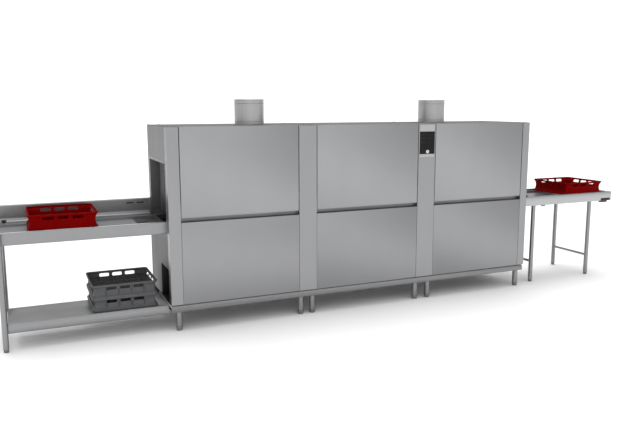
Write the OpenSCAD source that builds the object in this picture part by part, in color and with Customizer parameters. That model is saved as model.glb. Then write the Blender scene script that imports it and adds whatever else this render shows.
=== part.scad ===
// Rack-conveyor dishwasher: a three-bay wash tunnel on a leg frame, with a
// loading table and undershelf on its left and a discharge table on its right.
// All sizes are in millimetres. Inside each module x runs along the rack lane
// from the tunnel's left end, y runs back from its front face and z is height
// above the floor. placed() moves every node so that the origin is the centre
// of the whole footprint on the floor.

/* [Machine] */
// Length of the wash tunnel, end panel to end panel
machine_l = 3500; // [3100:10:4300]
// Depth of the machine, front face to rear panel
machine_d = 800; // [780:5:960]
// Height of the roof above the floor
machine_h = 1620; // [1560:5:1950]
// Height of the lower edge of the front panels
panel_z = 220; // [200:5:240]
// Width of the left corner post
left_post_w = 94; // [80:1:130]
// Width of the post between doors 1 and 2
column_1_w = 158; // [150:1:220]
// Width of the post between doors 2 and 3, which carries the controls
column_2_w = 176; // [172:1:240]
// Width of the right corner post
right_post_w = 78; // [76:1:120]
// Depth of the posts, front to back
post_d = 70; // [68:1:84]
// Thickness of the folded sheet
sheet = 2; // [1.5:0.1:2.5]

/* [Doors] */
// Height of the lower edge of the doors
door_z = 913; // [900:1:930]
// Height of the grip recess under each door
grip_gap = 36; // [30:1:44]
// Thickness of the double-skinned doors
door_t = 24; // [20:1:25]
// Gap between a door and the posts
door_gap = 6; // [4:1:9]
// How far a door lifts
// Pitch radius of the rope pulleys
pulley_r = 21; // [20:0.5:22]
// Length of the counterweights
weight_l = 760; // [560:10:780]

/* [Rack lane] */
// Length and width of a standard rack
rack_w = 500; // [480:5:500]
// Height of the plate racks
rack_h = 124; // [100:1:150]
// Height of the glass racks kept on the undershelf
glass_rack_h = 103; // [85:1:125]
// Height of the surface that the racks slide on
lane_z = 866; // [860:1:872]
// Side clearance between a rack and its guides
lane_clear = 2; // [1:0.5:5]
// Distance from the front face to the racks
lane_y = 106; // [104:1:120]
// Height of the upper edge of the tunnel mouths
mouth_z = 1337; // [1280:1:1340]

/* [Tables] */
// Length of the loading table
entry_l = 1250; // [1200:10:1500]
// Length of the discharge table
exit_l = 1210; // [1180:10:1500]
// Height of the table rims, lower edge to upper edge
rim_h = 91; // [70:1:110]
// Width of the folded rims
rim_t = 20; // [16:1:24]
// Height of the splashback above the floor
splash_z = 985; // [930:1:1050]
// Radius of the table legs
leg_r = 21; // [16:1:24]
// Height of the undershelf surface
shelf_z = 205; // [180:5:260]
// Depth of the undershelf
shelf_d = 416; // [380:5:520]

/* [Exhaust] */
// Outside radius of the exhaust spigots
duct_r = 125; // [100:1:140]
// Wall of the exhaust spigots
duct_wall = 2; // [1.5:0.1:3]
// Height of the spigots above the roof
duct_h = 213; // [200:1:300]

/* [Hidden] */
$fn = 64;

steel = [0.66, 0.66, 0.67];
dark_steel = [0.42, 0.42, 0.43];
black = [0.05, 0.05, 0.05];
rack_red = [0.62, 0.02, 0.03];
rack_grey = [0.30, 0.30, 0.31];

// Clearance between pieces that slide or turn past each other
run_gap = 0.3;
// Clearance round things that pass through a wall
pass_gap = 1.5;
// How far a cut runs past the face it opens
over = 1;
x_mid = (machine_l + exit_l - entry_l) / 2;
y_mid = machine_d / 2;

// Bays, posts and doors
bays = 3;
bay_l = machine_l / bays;
posts_w = left_post_w + column_1_w + column_2_w + right_post_w;
door_bay_w = (machine_l - posts_w) / bays;
door_x = [
    left_post_w,
    left_post_w + door_bay_w + column_1_w,
    left_post_w + 2 * door_bay_w + column_1_w + column_2_w
];
column_1_x = door_x[0] + door_bay_w;
column_2_x = door_x[1] + door_bay_w;
right_post_x = machine_l - right_post_w;
panel_top = door_z - grip_gap;
panel_t = 20;
roof_z = machine_h - sheet;

// Door guides and lift gear
door_mid_y = door_t / 2;
tongue_t = 8;
tongue_h = 150;
tongue_in = 14;
slot_t = tongue_t + 2 * lane_clear;
slot_lead = 8;
rope_r = 1.5;
rope_in = 36;
lug_z = door_z + 27;
lug_h = 30;
shaft_r = 6;
shaft_y = door_mid_y + pulley_r;
shaft_z = machine_h - 45;
flange_r = pulley_r + 3;
pulley_w = 12;
weight_w = 62;
weight_t = 20;
weight_y = shaft_y + pulley_r;
weight_top = shaft_z - 75;
skin = 1.5;

// Tunnel
inner_front_y = 44;
inner_rear_y = machine_d - 80;
ceiling_z = machine_h - 75;
sill_z = door_z + 32;
lintel_z = door_z + 617;
door_frame_w = 40;
mouth_y = [post_d, machine_d - 73];
lane_end_y = lane_y + rack_w;
lane_mid_y = lane_y + rack_w / 2;
rail_t = 3;
rail_w = 36;
tank_z = [520, 760];
tank_y = [80, inner_rear_y - 20];
tank_in = 60;
tank_wall = 2;
strainer_hole = 26;
strainer_pitch = 60;
end_plate_top = lane_z - rim_t;
lower_end_z = panel_z + 6;
cutout_y = 360;
cutout_z = 493;

// Pipes and pumps
pipe_r = 20;
arm_r = 14;
feed_y = 480;
pipe_wall = 2;
arm_dx = [-250, 0, 250];
upper_arm_z = ceiling_z - 75;
lower_arm_z = tank_z[1] + 55;
header_y = (inner_rear_y + machine_d) / 2;
arm_y = 130;
pump_y = 560;
pump_z = 360;
volute_r = 85;
volute_l = 70;
impeller_r = 62;
motor_r = 70;
motor_l = 220;
hub_r = 12;
rinse_r = 7;
rinse_y = inner_rear_y + sheet + rinse_r + 2;
rinse_x = 2 * bay_l + 560;
boiler_r = 100;
boiler_x = 2 * bay_l + 140;
boiler_y = 480;

// Rack transport
bar_z = [lane_z - 26, lane_z - 8];
bar_w = 40;
throw_r = 72;
stroke = 2 * throw_r;
bar_x = [tank_in + stroke + 20, machine_l - tank_in];
pawl_x = 420;
pawl_l = 70;
pin_r = 4;
crank_x = bay_l;
crank_r = 88;
gear_half = 49;
crank_z = tank_z[1] + 8;
plate_t = 8;
gear_z = 660;
stem_l = 40;
motor_drop = 60;
peg_z = crank_z + 3 * plate_t;
link_w = 11;
blade_n = 12;
vane_n = 6;
boiler_legs = 3;
boiler_turn = 30;
pump_in = 433;
pump_dx = pump_in - bay_l / 2;
pump_rail_w = 32;
pin_gap = 0.05;
upstand_y = 24;
service_wall = 4;
curtain_in = 60;
strip_n = 5;
pawl_z = (bar_z[0] + bar_z[1]) / 2;
rod_l = 240;
rod_w = 22;

// Dryer blower and controls box
blower_x = 2 * bay_l + 880;
blower_y = [300, 420];
blower_z = 370;
blower_r = 110;
fan_r = 88;
box_x = [2 * bay_l + 120, 2 * bay_l + 520];
box_y = [60, 230];
box_z = [250, 500];

service_r = [25, 13, 20];
service_x = 2 * bay_l + 560;
service_y = machine_d - 150;
service_pitch = 90;
service_z = 140;

// Legs
machine_leg_r = 25;
foot_r = 23;
foot_h = 22;
foot_in = 3;
rail_h = [160, 208];
leg_x = [65, bay_l - 49, bay_l + 58, 2 * bay_l - 65, 2 * bay_l + 70, machine_l - 56];
leg_y = [50, machine_d - 62];
rail_y = [12, 52];
stem_r = 8;
stem_h = 46;

// Tables
rim_z = lane_z + 10;
table_floor_z = lane_z - 18;
table_y = lane_y - lane_clear - rim_t;
entry_back_y = machine_d;
exit_back_y = lane_end_y + lane_clear + rim_t;
entry_leg_x = -entry_l + 50;
entry_leg_y = [table_y - leg_r, machine_d - 45];
exit_leg_x = [machine_l + 190, machine_l + 940];
exit_leg_y = [table_y + leg_r, exit_back_y - rim_t - leg_r - sheet];
slide_w = 24;
slide_in = 40;
drain_r = 32;
drain_x = -entry_l + 83;
drain_y = 626;
stub_r = 22;
stub_l = 60;
shelf_lip = 75;
shelf_x = [-entry_l + 50 + leg_r, -6];
cross_z = 210;
cross_r = 12;

// Racks
entry_rack_x = -1005;
exit_rack_x = machine_l + 612;
shelf_rack_x = -583;
shelf_rack_y = table_y + 28;
rack_wall = 5;
rack_lip = 4;
rack_lip_h = 12;
grid_bar = 7;
grid_n = 9;
slot_n = 3;
hand_slot = [78, 26];
hand_pitch = 104;

// End switch of the discharge table
lever_x = machine_l + exit_l - 50;
lever_t = 6;
lever_w = 30;
lever_r = 12;
switch_l = 90;
switch_h = 26;
lever_z = table_floor_z - switch_h / 2 - sheet;

stub_x = machine_l + 345;
stub_wall = 3;
stub_y = table_y + rim_t + stub_r + 12;

// Controls on column 2
panel_x = [column_2_x + 10, column_2_x + column_2_w - 8];
control_z = [machine_h - 298, machine_h - 7];
glass_z = [machine_h - 270, machine_h - 69];
control_t = 5;
glass_t = 2;
button_r = 13;
button_x = column_2_x + column_2_w / 2 + 6;
button_z = machine_h - 249;
button_t = 2.6;

// Exhaust
duct_x = [795, 2633];
duct_y = machine_d / 2;
damper_z = machine_h + 90;
damper_gap = 3;
damper_t = 2;
spindle_r = 5;

module placed() { translate([-x_mid, -y_mid, 0]) children(); }
module block(a, b) { translate(a) cube([b[0] - a[0], b[1] - a[1], b[2] - a[2]]); }
module along_x(r, l) { rotate([0, 90, 0]) cylinder(r = r, h = l); }
module along_y(r, l) { rotate([-90, 0, 0]) cylinder(r = r, h = l); }

// Base frame: two long rails with a set-back upstand, and cross rails at the legs
module base_frame() {
    color(dark_steel) placed() union() {
        for (y = [rail_y, [machine_d - rail_y[1], machine_d - rail_y[0]]]) {
            block([sheet, y[0], rail_h[0]], [machine_l - sheet, y[1], rail_h[1]]);
            block([sheet, upstand_y, rail_h[1]], [machine_l - sheet, rail_y[1], panel_z]);
        }
        for (x = leg_x) {
            block([x - pipe_r, rail_y[1], rail_h[0]], [x + pipe_r, machine_d - rail_y[1], rail_h[1]]);
        }
        block(
            [sheet, pump_y + motor_l - pump_rail_w, rail_h[0]],
            [machine_l - sheet, pump_y + motor_l, rail_h[1]]
        );
    }
}

module machine_legs() {
    color(steel) placed() for (x = leg_x) for (y = leg_y) translate([x, y, foot_h]) difference() {
        cylinder(r = machine_leg_r, h = rail_h[0] - foot_h);
        translate([0, 0, -over]) cylinder(r = stem_r, h = stem_h + over);
    }
}

module levelling_feet() {
    color(black) placed() {
        for (x = leg_x) for (y = leg_y) translate([x, y, 0]) foot();
        for (y = entry_leg_y) translate([entry_leg_x, y, 0]) table_foot();
        for (x = exit_leg_x) for (y = exit_leg_y) translate([x, y, 0]) table_foot();
    }
}
module foot() {
    cylinder(r = foot_r, h = foot_h);
    cylinder(r = stem_r, h = foot_h + stem_h - over);
}
module table_foot() { cylinder(r = leg_r - foot_in, h = foot_h); }

// A folded post, open below, with a guide slot and a shaft hole on each side that meets a door
module post(x, w, left_door, right_door) {
    difference() {
        block([x, 0, panel_z], [x + w, post_d, roof_z]);
        block([x + sheet, sheet, panel_z - over], [x + w - sheet, post_d - sheet, roof_z - sheet]);
        if (left_door) post_cuts(x - over);
        if (right_door) post_cuts(x + w - sheet - over);
    }
}
module post_cuts(x) {
    block(
        [x, door_mid_y - slot_t / 2, door_z - slot_lead],
        [x + sheet + 2 * over, door_mid_y + slot_t / 2, shaft_z - flange_r]
    );
    translate([x, shaft_y, shaft_z]) along_x(shaft_r + pass_gap, sheet + 2 * over);
}

module corner_posts() {
    color(steel) placed() {
        post(0, left_post_w, false, true);
        post(right_post_x, right_post_w, true, false);
        for (x = [0, machine_l - rail_y[1]]) rear_post(x);
    }
}
module rear_post(x) {
    block(
        [x + sheet, machine_d - rail_y[1], panel_z],
        [x + rail_y[1] - sheet, machine_d - rail_y[0], ceiling_z]
    );
}
module column_1() { color(steel) placed() post(column_1_x, column_1_w, true, true); }
module column_2() {
    color(steel) placed() difference() {
        post(column_2_x, column_2_w, true, true);
        block(
            [panel_x[0] - run_gap, -over, control_z[0] - run_gap],
            [panel_x[1] + run_gap, sheet + over, control_z[1] + run_gap]
        );
    }
}

// Lower front panels: shallow pans with folded edges
module lower_panels() {
    color(steel) placed() for (x = door_x) difference() {
        block([x + lane_clear, 0, panel_z], [x + door_bay_w - lane_clear, panel_t, panel_top]);
        block(
            [x + lane_clear + sheet, sheet, panel_z + sheet],
            [x + door_bay_w - lane_clear - sheet, panel_t + over, panel_top - sheet]
        );
    }
}

module roof_and_rear_panels() {
    color(steel) placed() {
        difference() {
            block([0, 0, roof_z], [machine_l, machine_d - sheet, machine_h]);
            for (x = door_x) {
                block([x, -over, roof_z - over], [x + door_bay_w, door_t + door_gap, machine_h + over]);
            }
            for (x = duct_x) {
                translate([x, duct_y, roof_z - over]) cylinder(r = duct_r - duct_wall, h = sheet + 2 * over);
            }
        }
        block([0, machine_d - sheet, panel_z], [machine_l, machine_d, machine_h]);
    }
}

// End panels: a hood above the tunnel mouth, a narrow rear jamb and a plate below the lane
module end_panel(x, with_cutout) {
    difference() {
        block([x, post_d, panel_z], [x + sheet, machine_d - sheet, roof_z]);
        block([x - over, mouth_y[0] - over, end_plate_top], [x + sheet + over, mouth_y[1], mouth_z]);
        if (with_cutout) {
            block([x - over, post_d - over, lower_end_z], [x + sheet + over, cutout_y, cutout_z]);
        }
    }
    hanger_x = with_cutout ? [x + sheet, x + curtain_in + hub_r] : [x - curtain_in - hub_r + sheet, x];
    for (y = [lane_y - lane_clear - sheet - over, lane_end_y + lane_clear + over]) difference() {
        block([hanger_x[0], y, mouth_z + over], [hanger_x[1], y + sheet, mouth_z + 2 * rod_w]);
        translate([with_cutout ? curtain_in : machine_l - curtain_in, y - over, mouth_z + rod_w]) {
            along_y(pin_r + over + pin_gap, sheet + 2 * over);
        }
    }
}
module entry_end_panel() { color(steel) placed() end_panel(0, true); }
module exit_end_panel() { color(steel) placed() end_panel(machine_l - sheet, false); }

// Front wall of the tunnel behind each door, with the door's opening
module chamber_front() {
    color(dark_steel) placed() for (x = door_x) difference() {
        block([x, inner_front_y, tank_z[1]], [x + door_bay_w, inner_front_y + sheet, roof_z]);
        block(
            [x + door_frame_w, inner_front_y - over, sill_z],
            [x + door_bay_w - door_frame_w, inner_front_y + sheet + over, lintel_z]
        );
    }
}

// Rear wall and ceiling of the tunnel, pierced by the spray arms and the exhausts
module chamber_shell() {
    color(dark_steel) placed() difference() {
        union() {
            block([sheet, inner_rear_y, tank_z[1]], [machine_l - sheet, inner_rear_y + sheet, ceiling_z]);
            block([sheet, post_d, ceiling_z], [machine_l - sheet, inner_rear_y + sheet, ceiling_z + sheet]);
        }
        for (k = [0 : bays - 1]) for (dx = arms(k)) for (z = [lower_arm_z, upper_arm_z]) {
            translate([bay_mid(k) + dx, inner_rear_y - over, z]) along_y(arm_r + pass_gap, sheet + 2 * over);
        }
        for (z = [lower_arm_z, upper_arm_z]) {
            translate([rinse_x, inner_rear_y - over, z]) along_y(rinse_r + pass_gap, sheet + 2 * over);
        }
        for (x = duct_x) {
            translate([x, duct_y, ceiling_z - over]) cylinder(r = duct_r - duct_wall, h = sheet + 2 * over);
        }
    }
}

module wash_tanks() {
    color(dark_steel) placed() for (k = [0 : bays - 1]) difference() {
        tank_block(k, 0, tank_z[1]);
        translate([0, 0, tank_wall]) tank_block(k, tank_wall, tank_z[1]);
    }
}
module tank_block(k, inset, top) {
    block(
        [k * bay_l + tank_in + inset, tank_y[0] + inset, tank_z[0]],
        [(k + 1) * bay_l - tank_in - inset, tank_y[1] - inset, top]
    );
}
module tank_strainers() {
    strainer_l = bay_l - 2 * tank_in;
    strainer_d = tank_y[1] - tank_y[0];
    nx = floor(strainer_l / strainer_pitch) - 1;
    ny = floor(strainer_d / strainer_pitch) - 1;
    color(steel) placed() for (k = [0 : bays - 1]) {
        translate([k * bay_l + tank_in, tank_y[0], tank_z[1]]) linear_extrude(sheet) difference() {
            square([strainer_l, strainer_d]);
            for (i = [1 : nx]) for (j = [1 : ny]) {
                translate([i * strainer_pitch, j * strainer_pitch]) circle(d = strainer_hole);
            }
        }
    }
}

// Wash pumps: a volute with a motor behind it, one under each tank
module pump_bodies() {
    color(dark_steel) placed() for (k = [0 : bays - 1]) translate([pump_x(k), pump_y, pump_z]) {
        difference() {
            union() {
                along_y(volute_r, volute_l);
                translate([0, volute_l / 2, 0]) cylinder(r = pipe_r, h = tank_z[0] - pump_z);
                translate([0, -stub_l, 0]) along_y(pipe_r, stub_l + over);
            }
            translate([0, plate_t, 0]) along_y(impeller_r + plate_t, volute_l - 2 * plate_t);
            translate([0, -stub_l - over, 0]) along_y(pipe_r - pipe_wall, stub_l + plate_t + 2 * over);
        }
        translate([0, volute_l, 0]) along_y(motor_r, motor_l - volute_l);
        for (dx = [-motor_r / 2, motor_r / 2]) {
            block(
                [dx - arm_r, volute_l + arm_r, rail_h[1] - pump_z],
                [dx + arm_r, motor_l - arm_r, -motor_r / 2]
            );
        }
    }
}
function bay_mid(k) = (k + 1 / 2) * bay_l;
function pump_x(k) = bay_mid(k) + pump_dx;
module impeller(k) {
    color(black) placed() translate([pump_x(k), pump_y + plate_t + pass_gap, pump_z]) {
        along_y(impeller_r, plate_t / 2);
        along_y(hub_r, volute_l - 2 * plate_t - 2 * pass_gap);
        for (i = [1 : vane_n]) rotate([0, i * 360 / vane_n, 0]) {
            block([hub_r - over, 0, -pipe_wall], [impeller_r - over, volute_l / 2, pipe_wall]);
        }
    }
}
module impeller_1() { impeller(0); }
module impeller_2() { impeller(1); }
module impeller_3() { impeller(2); }

// Wash pipes: headers behind the tunnel feeding spray arms above and below the racks.
// The last bay has a single pair of arms, ahead of the fresh-water rinse.
function arms(k) = k < bays - 1 ? arm_dx : [arm_dx[0]];
module wash_pipes() {
    color(steel) placed() for (k = [0 : bays - 1]) translate([bay_mid(k), 0, 0]) {
        for (z = [lower_arm_z, upper_arm_z]) {
            translate([arm_dx[0] - pipe_r, header_y, z]) along_x(pipe_r, arm_dx[2] - arm_dx[0] + 2 * pipe_r);
            for (dx = arms(k)) translate([dx, arm_y, z]) along_y(arm_r, header_y - arm_y);
        }
        translate([arm_dx[2], header_y, pump_z]) cylinder(r = arm_r, h = upper_arm_z - pump_z);
        translate([arm_dx[2], feed_y, pump_z]) along_y(arm_r, header_y - feed_y);
        translate([pump_dx, feed_y, pump_z]) along_x(arm_r, arm_dx[2] - pump_dx);
        translate([pump_dx, feed_y, pump_z]) along_y(arm_r, pump_y - stub_l - feed_y);
    }
}

module rinse_system() {
    color(steel) placed() {
        for (z = [lower_arm_z, upper_arm_z]) {
            translate([rinse_x, arm_y, z]) along_y(rinse_r, rinse_y - arm_y);
        }
        translate([rinse_x, rinse_y, box_z[0]]) {
            cylinder(r = rinse_r + over, h = upper_arm_z - box_z[0] + hub_r);
        }
        translate([boiler_x, boiler_y, box_z[1] - pipe_r]) along_y(rinse_r, rinse_y - boiler_y);
        translate([boiler_x, rinse_y, box_z[1] - pipe_r]) along_x(rinse_r, rinse_x - boiler_x);
        translate([boiler_x, boiler_y, box_z[0]]) cylinder(r = boiler_r, h = box_z[1] - box_z[0]);
        translate([boiler_x, boiler_y, rail_h[1]]) for (i = [1 : boiler_legs]) {
            rotate([0, 0, boiler_turn + i * 360 / boiler_legs]) translate([boiler_r - arm_r - over, 0, 0]) {
                cylinder(r = pipe_r / 2, h = box_z[0] - rail_h[1] + over);
            }
        }
    }
}

module electrical_box() {
    color(steel) placed() difference() {
        block([box_x[0], box_y[0], box_z[0]], [box_x[1], box_y[1], box_z[1]]);
        block(
            [box_x[0] + sheet, box_y[0] - over, box_z[0] + sheet],
            [box_x[1] - sheet, box_y[1] - sheet, box_z[1] - sheet]
        );
    }
}

// Rack rails: two angles that carry and guide the racks through the tunnel
module rack_rails() {
    color(steel) placed() {
        for (m = [0, 1]) translate([0, m * 2 * lane_mid_y, 0]) mirror([0, m, 0]) {
            rail_y0 = lane_y - lane_clear - rail_t;
            block([sheet, rail_y0, lane_z - rail_t], [machine_l - sheet, rail_y0 + rail_w, lane_z]);
            block([sheet, rail_y0, lane_z - rail_w], [machine_l - sheet, rail_y0 + rail_t, lane_z + rail_w]);
            for (x = [tank_in : bay_l / 2 : machine_l - tank_in]) {
                block([x, rail_y0, tank_z[1] + sheet], [x + rail_t, rail_y0 + rail_w, lane_z - rail_t]);
            }
        }
    }
}

// The reciprocating bar that pushes the racks, with a lug for the connecting rod
module pawl_bar() {
    color(steel) placed() difference() {
        union() {
            block([bar_x[0], lane_mid_y - bar_w / 2, bar_z[0]], [bar_x[1], lane_mid_y + bar_w / 2, bar_z[1]]);
            translate([crank_x + rod_l, lane_mid_y, peg_z]) cylinder(r = rod_w / 2, h = bar_z[0] - peg_z);
        }
        block(
            [pawl_x - pawl_l, lane_mid_y - pipe_r / 2, bar_z[0] - over],
            [pawl_x + arm_r, lane_mid_y + pipe_r / 2, bar_z[1] + over]
        );
        translate([pawl_x, lane_mid_y - bar_w / 2 - over, pawl_z]) along_y(pin_r, bar_w + 2 * over);
    }
}
module rack_pawl() {
    color(dark_steel) placed() translate([pawl_x, lane_mid_y, pawl_z]) {
        translate([0, -bar_w / 2, 0]) along_y(pin_r - pin_gap, bar_w);
        rotate([90, 0, 0]) translate([0, 0, -plate_t]) linear_extrude(2 * plate_t) polygon([
            [pin_r + over, -pin_r - over], [pin_r + over, pin_r + over],
            [-pawl_l / 2, pin_r + over], [-pawl_l + plate_t, rail_w / 2],
            [-pawl_l + plate_t, -pin_r - over]
        ]);
    }
}

module gearmotor() {
    color(dark_steel) placed() translate([crank_x, lane_mid_y, 0]) {
        difference() {
            union() {
                translate([0, 0, tank_z[0] - motor_drop]) {
                    cylinder(r = gear_half - 2 * plate_t, h = gear_z - tank_z[0] + motor_drop + over);
                }
                block([-gear_half, -2 * gear_half, gear_z], [gear_half, gear_half, crank_z - 2 * sheet]);
            }
            translate([0, 0, crank_z - stem_l - plate_t]) cylinder(r = hub_r + run_gap, h = crank_z);
        }
        block([-gear_half, -2 * gear_half, rail_h[1]], [gear_half, -2 * gear_half + plate_t, gear_z]);
        block([-gear_half, gear_half - plate_t, rail_h[1]], [gear_half, gear_half, gear_z]);
    }
}
module drive_crank() {
    color(steel) placed() translate([crank_x, lane_mid_y, crank_z]) {
        cylinder(r = crank_r, h = plate_t);
        translate([0, 0, -stem_l]) cylinder(r = hub_r, h = stem_l + over);
        translate([0, -throw_r, 0]) cylinder(r = pin_r, h = 2 * plate_t + 2 * over);
    }
}
module connecting_rod() {
    rod_z = crank_z + plate_t + run_gap;
    color(steel) placed() translate([crank_x, lane_mid_y - throw_r, rod_z]) difference() {
        union() {
            cylinder(r = rod_w / 2, h = plate_t);
            translate([rod_l, 0, 0]) cylinder(r = rod_w / 2, h = plate_t);
            block([0, -link_w / 2, 0], [rod_l, link_w / 2, plate_t]);
        }
        for (x = [0, rod_l]) translate([x, 0, -over]) cylinder(r = pin_r + pin_gap, h = plate_t + 2 * over);
    }
}

module blower_housing() {
    color(steel) placed() difference() {
        union() {
            translate([blower_x, blower_y[0], blower_z]) along_y(blower_r, blower_y[1] - blower_y[0]);
            block(
                [blower_x, blower_y[0], blower_z],
                [blower_x + blower_r, blower_y[1], tank_z[0]]
            );
            block(
                [blower_x - pipe_r, blower_y[0], rail_h[1]],
                [blower_x + pipe_r, blower_y[1], blower_z - blower_r / 2]
            );
        }
        translate([blower_x, blower_y[0] + sheet, blower_z]) {
            along_y(blower_r - sheet, blower_y[1] - blower_y[0] - 2 * sheet);
        }
        translate([blower_x, blower_y[0] - over, blower_z]) along_y(motor_r, 2 * over + sheet);
        block(
            [blower_x + fan_r / 2, blower_y[0] + sheet, blower_z],
            [blower_x + blower_r - sheet, blower_y[1] - sheet, tank_z[0] + over]
        );
    }
}
module blower_fan() {
    fan_l = blower_y[1] - blower_y[0] - 2 * plate_t;
    color(dark_steel) placed() translate([blower_x, blower_y[0] + plate_t, blower_z]) {
        translate([0, fan_l - plate_t / 2, 0]) along_y(fan_r, plate_t / 2);
        along_y(hub_r, fan_l);
        for (i = [1 : blade_n]) rotate([0, i * 360 / blade_n, 0]) {
            block([fan_r - pipe_r, 0, -over], [fan_r - over, fan_l, over]);
        }
    }
}

// Strip curtains that hang inside the tunnel mouths
module curtain(x) {
    pitch = (rack_w - lane_clear) / strip_n;
    color(black) placed() {
        translate([x, lane_y - lane_clear - 2 * plate_t, mouth_z + rod_w]) {
            along_y(pin_r + over, rack_w + 2 * (lane_clear + 2 * plate_t));
        }
        for (i = [0 : strip_n - 1]) {
            block(
                [x - over, lane_y + lane_clear + i * pitch, lane_z + rail_w],
                [x + over, lane_y + (i + 1) * pitch - lane_clear, mouth_z + rod_w]
            );
        }
    }
}
module entry_curtain() { curtain(curtain_in); }
module exit_curtain() { curtain(machine_l - curtain_in); }

module exhaust_spigots() {
    color(steel) placed() for (x = duct_x) translate([x, duct_y, machine_h]) difference() {
        union() {
            cylinder(r = duct_r, h = duct_h);
            cylinder(r = duct_r + plate_t, h = sheet);
        }
        translate([0, 0, -over]) cylinder(r = duct_r - duct_wall, h = duct_h + 2 * over);
        translate([-duct_r - over, 0, damper_z - machine_h]) {
            along_x(spindle_r + pin_gap, 2 * duct_r + 2 * over);
        }
    }
}
module damper(k) {
    color(dark_steel) placed() translate([duct_x[k], duct_y, damper_z]) {
        translate([0, -damper_t / 2, 0]) along_y(duct_r - duct_wall - damper_gap, damper_t);
        translate([-duct_r + run_gap, 0, 0]) along_x(spindle_r, 2 * duct_r - 2 * run_gap);
    }
}
module damper_1() { damper(0); }
module damper_2() { damper(1); }

// A double-skinned door with guide tongues and lifting lugs at its lower corners
module door(k) {
    x0 = door_x[k] + door_gap;
    x1 = door_x[k] + door_bay_w - door_gap;
    color(steel) placed() {
        difference() {
            block([x0, 0, door_z], [x1, door_t, machine_h]);
            block([x0 + skin, skin, door_z + skin], [x1 - skin, door_t - skin, machine_h - skin]);
            for (x = [x0 + rod_w, x1 - rod_w]) {
                translate([x, door_mid_y, door_z - over]) cylinder(r = pin_r, h = skin + 2 * over);
            }
        }
        door_guide(x0, -1);
        door_guide(x1, 1);
    }
}
module door_guide(x, side) {
    reach = door_gap + tongue_in;
    lug_reach = door_gap + rope_in + 2 * lane_clear;
    translate([x, door_mid_y, 0]) mirror([side < 0 ? 1 : 0, 0, 0]) union() {
        block([-skin, -tongue_t / 2, door_z], [reach, tongue_t / 2, door_z + tongue_h]);
        block([-skin, -tongue_t / 2, lug_z], [lug_reach, tongue_t / 2, lug_z + lug_h]);
    }
}
module door_1() { door(0); }
module door_2() { door(1); }
module door_3() { door(2); }

// Rope lines: the two x positions of the ropes of door k
function rope_x(k) = [door_x[k] - rope_in, door_x[k] + door_bay_w + rope_in];

module lift_shaft(k) {
    x = rope_x(k);
    color(steel) placed() translate([0, shaft_y, shaft_z]) {
        translate([x[0] - pulley_w / 2, 0, 0]) along_x(shaft_r, x[1] - x[0] + pulley_w);
        for (px = x) translate([px, 0, 0]) {
            translate([-pulley_w / 2, 0, 0]) along_x(pulley_r - rope_r - run_gap, pulley_w);
            for (side = [-pulley_w / 2, pulley_w / 2 - sheet]) {
                translate([side, 0, 0]) along_x(flange_r, sheet);
            }
        }
    }
}
module lift_shaft_1() { lift_shaft(0); }
module lift_shaft_2() { lift_shaft(1); }
module lift_shaft_3() { lift_shaft(2); }

module counterweights(k) {
    color(dark_steel) placed() for (x = rope_x(k)) {
        block(
            [x - weight_w / 2, weight_y - weight_t / 2, weight_top - weight_l],
            [x + weight_w / 2, weight_y + weight_t / 2, weight_top]
        );
    }
}
module counterweights_1() { counterweights(0); }
module counterweights_2() { counterweights(1); }
module counterweights_3() { counterweights(2); }

module lift_ropes(k) {
    color(black) placed() for (x = rope_x(k)) {
        translate([x, door_mid_y, lug_z + lug_h]) cylinder(r = rope_r, h = shaft_z - lug_z - lug_h);
        translate([x, weight_y, weight_top]) cylinder(r = rope_r, h = shaft_z - weight_top);
        translate([x, shaft_y, shaft_z]) rotate([90, 0, 90]) {
            rotate_extrude(angle = 180) translate([pulley_r, 0]) circle(r = rope_r);
        }
    }
}
module lift_ropes_1() { lift_ropes(0); }
module lift_ropes_2() { lift_ropes(1); }
module lift_ropes_3() { lift_ropes(2); }

// Controls: a plate let into column 2, with a glass over the display and one button
module control_panel() {
    color(steel) placed() difference() {
        block([panel_x[0], 0, control_z[0]], [panel_x[1], control_t, control_z[1]]);
        block([panel_x[0] - over, -over, glass_z[0]], [panel_x[1] + over, glass_t, glass_z[1]]);
        button_hole();
    }
}
module button_hole() {
    translate([button_x, -over, button_z]) along_y(button_r + run_gap, control_t + 2 * over);
}
module display_glass() {
    color(black) placed() difference() {
        block([panel_x[0], 0, glass_z[0]], [panel_x[1], glass_t, glass_z[1]]);
        button_hole();
    }
}
module start_button() {
    color(steel) placed() translate([button_x, 0, button_z]) along_y(button_r, button_t);
}

// Loading table: a trough with a front rim and two slides, open towards the splashback
module entry_table_top() {
    back_y = entry_back_y - rim_t;
    color(steel) placed() difference() {
        union() {
            block([-entry_l, table_y, table_floor_z - sheet], [0, back_y, table_floor_z]);
            table_rim(-entry_l, 0, table_y, rim_z);
            block([-entry_l, table_y, rim_z - rim_h], [-entry_l + sheet, back_y, rim_z]);
            table_slides(-entry_l + sheet, 0);
            translate([drain_x, drain_y, table_floor_z - stub_l]) cylinder(r = drain_r, h = stub_l - sheet);
        }
        translate([drain_x, drain_y, table_floor_z - stub_l - over]) {
            cylinder(r = stub_r, h = stub_l + 2 * over);
        }
    }
}

// Splashback: a folded upstand along the back of the loading table
module entry_splashback() {
    color(steel) placed() table_rim(-entry_l, 0, entry_back_y - rim_t, splash_z);
}

// Hollow rim, folded from sheet and open below
module table_rim(x0, x1, y, top) {
    difference() {
        block([x0, y, rim_z - rim_h], [x1, y + rim_t, top]);
        block([x0 - over, y + sheet, rim_z - rim_h - over], [x1 + over, y + rim_t - sheet, top - sheet]);
    }
}
module table_slides(x0, x1) {
    for (y = [lane_y + slide_in, lane_end_y - slide_in - slide_w]) {
        block([x0, y, table_floor_z], [x1, y + slide_w, lane_z]);
    }
}

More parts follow.
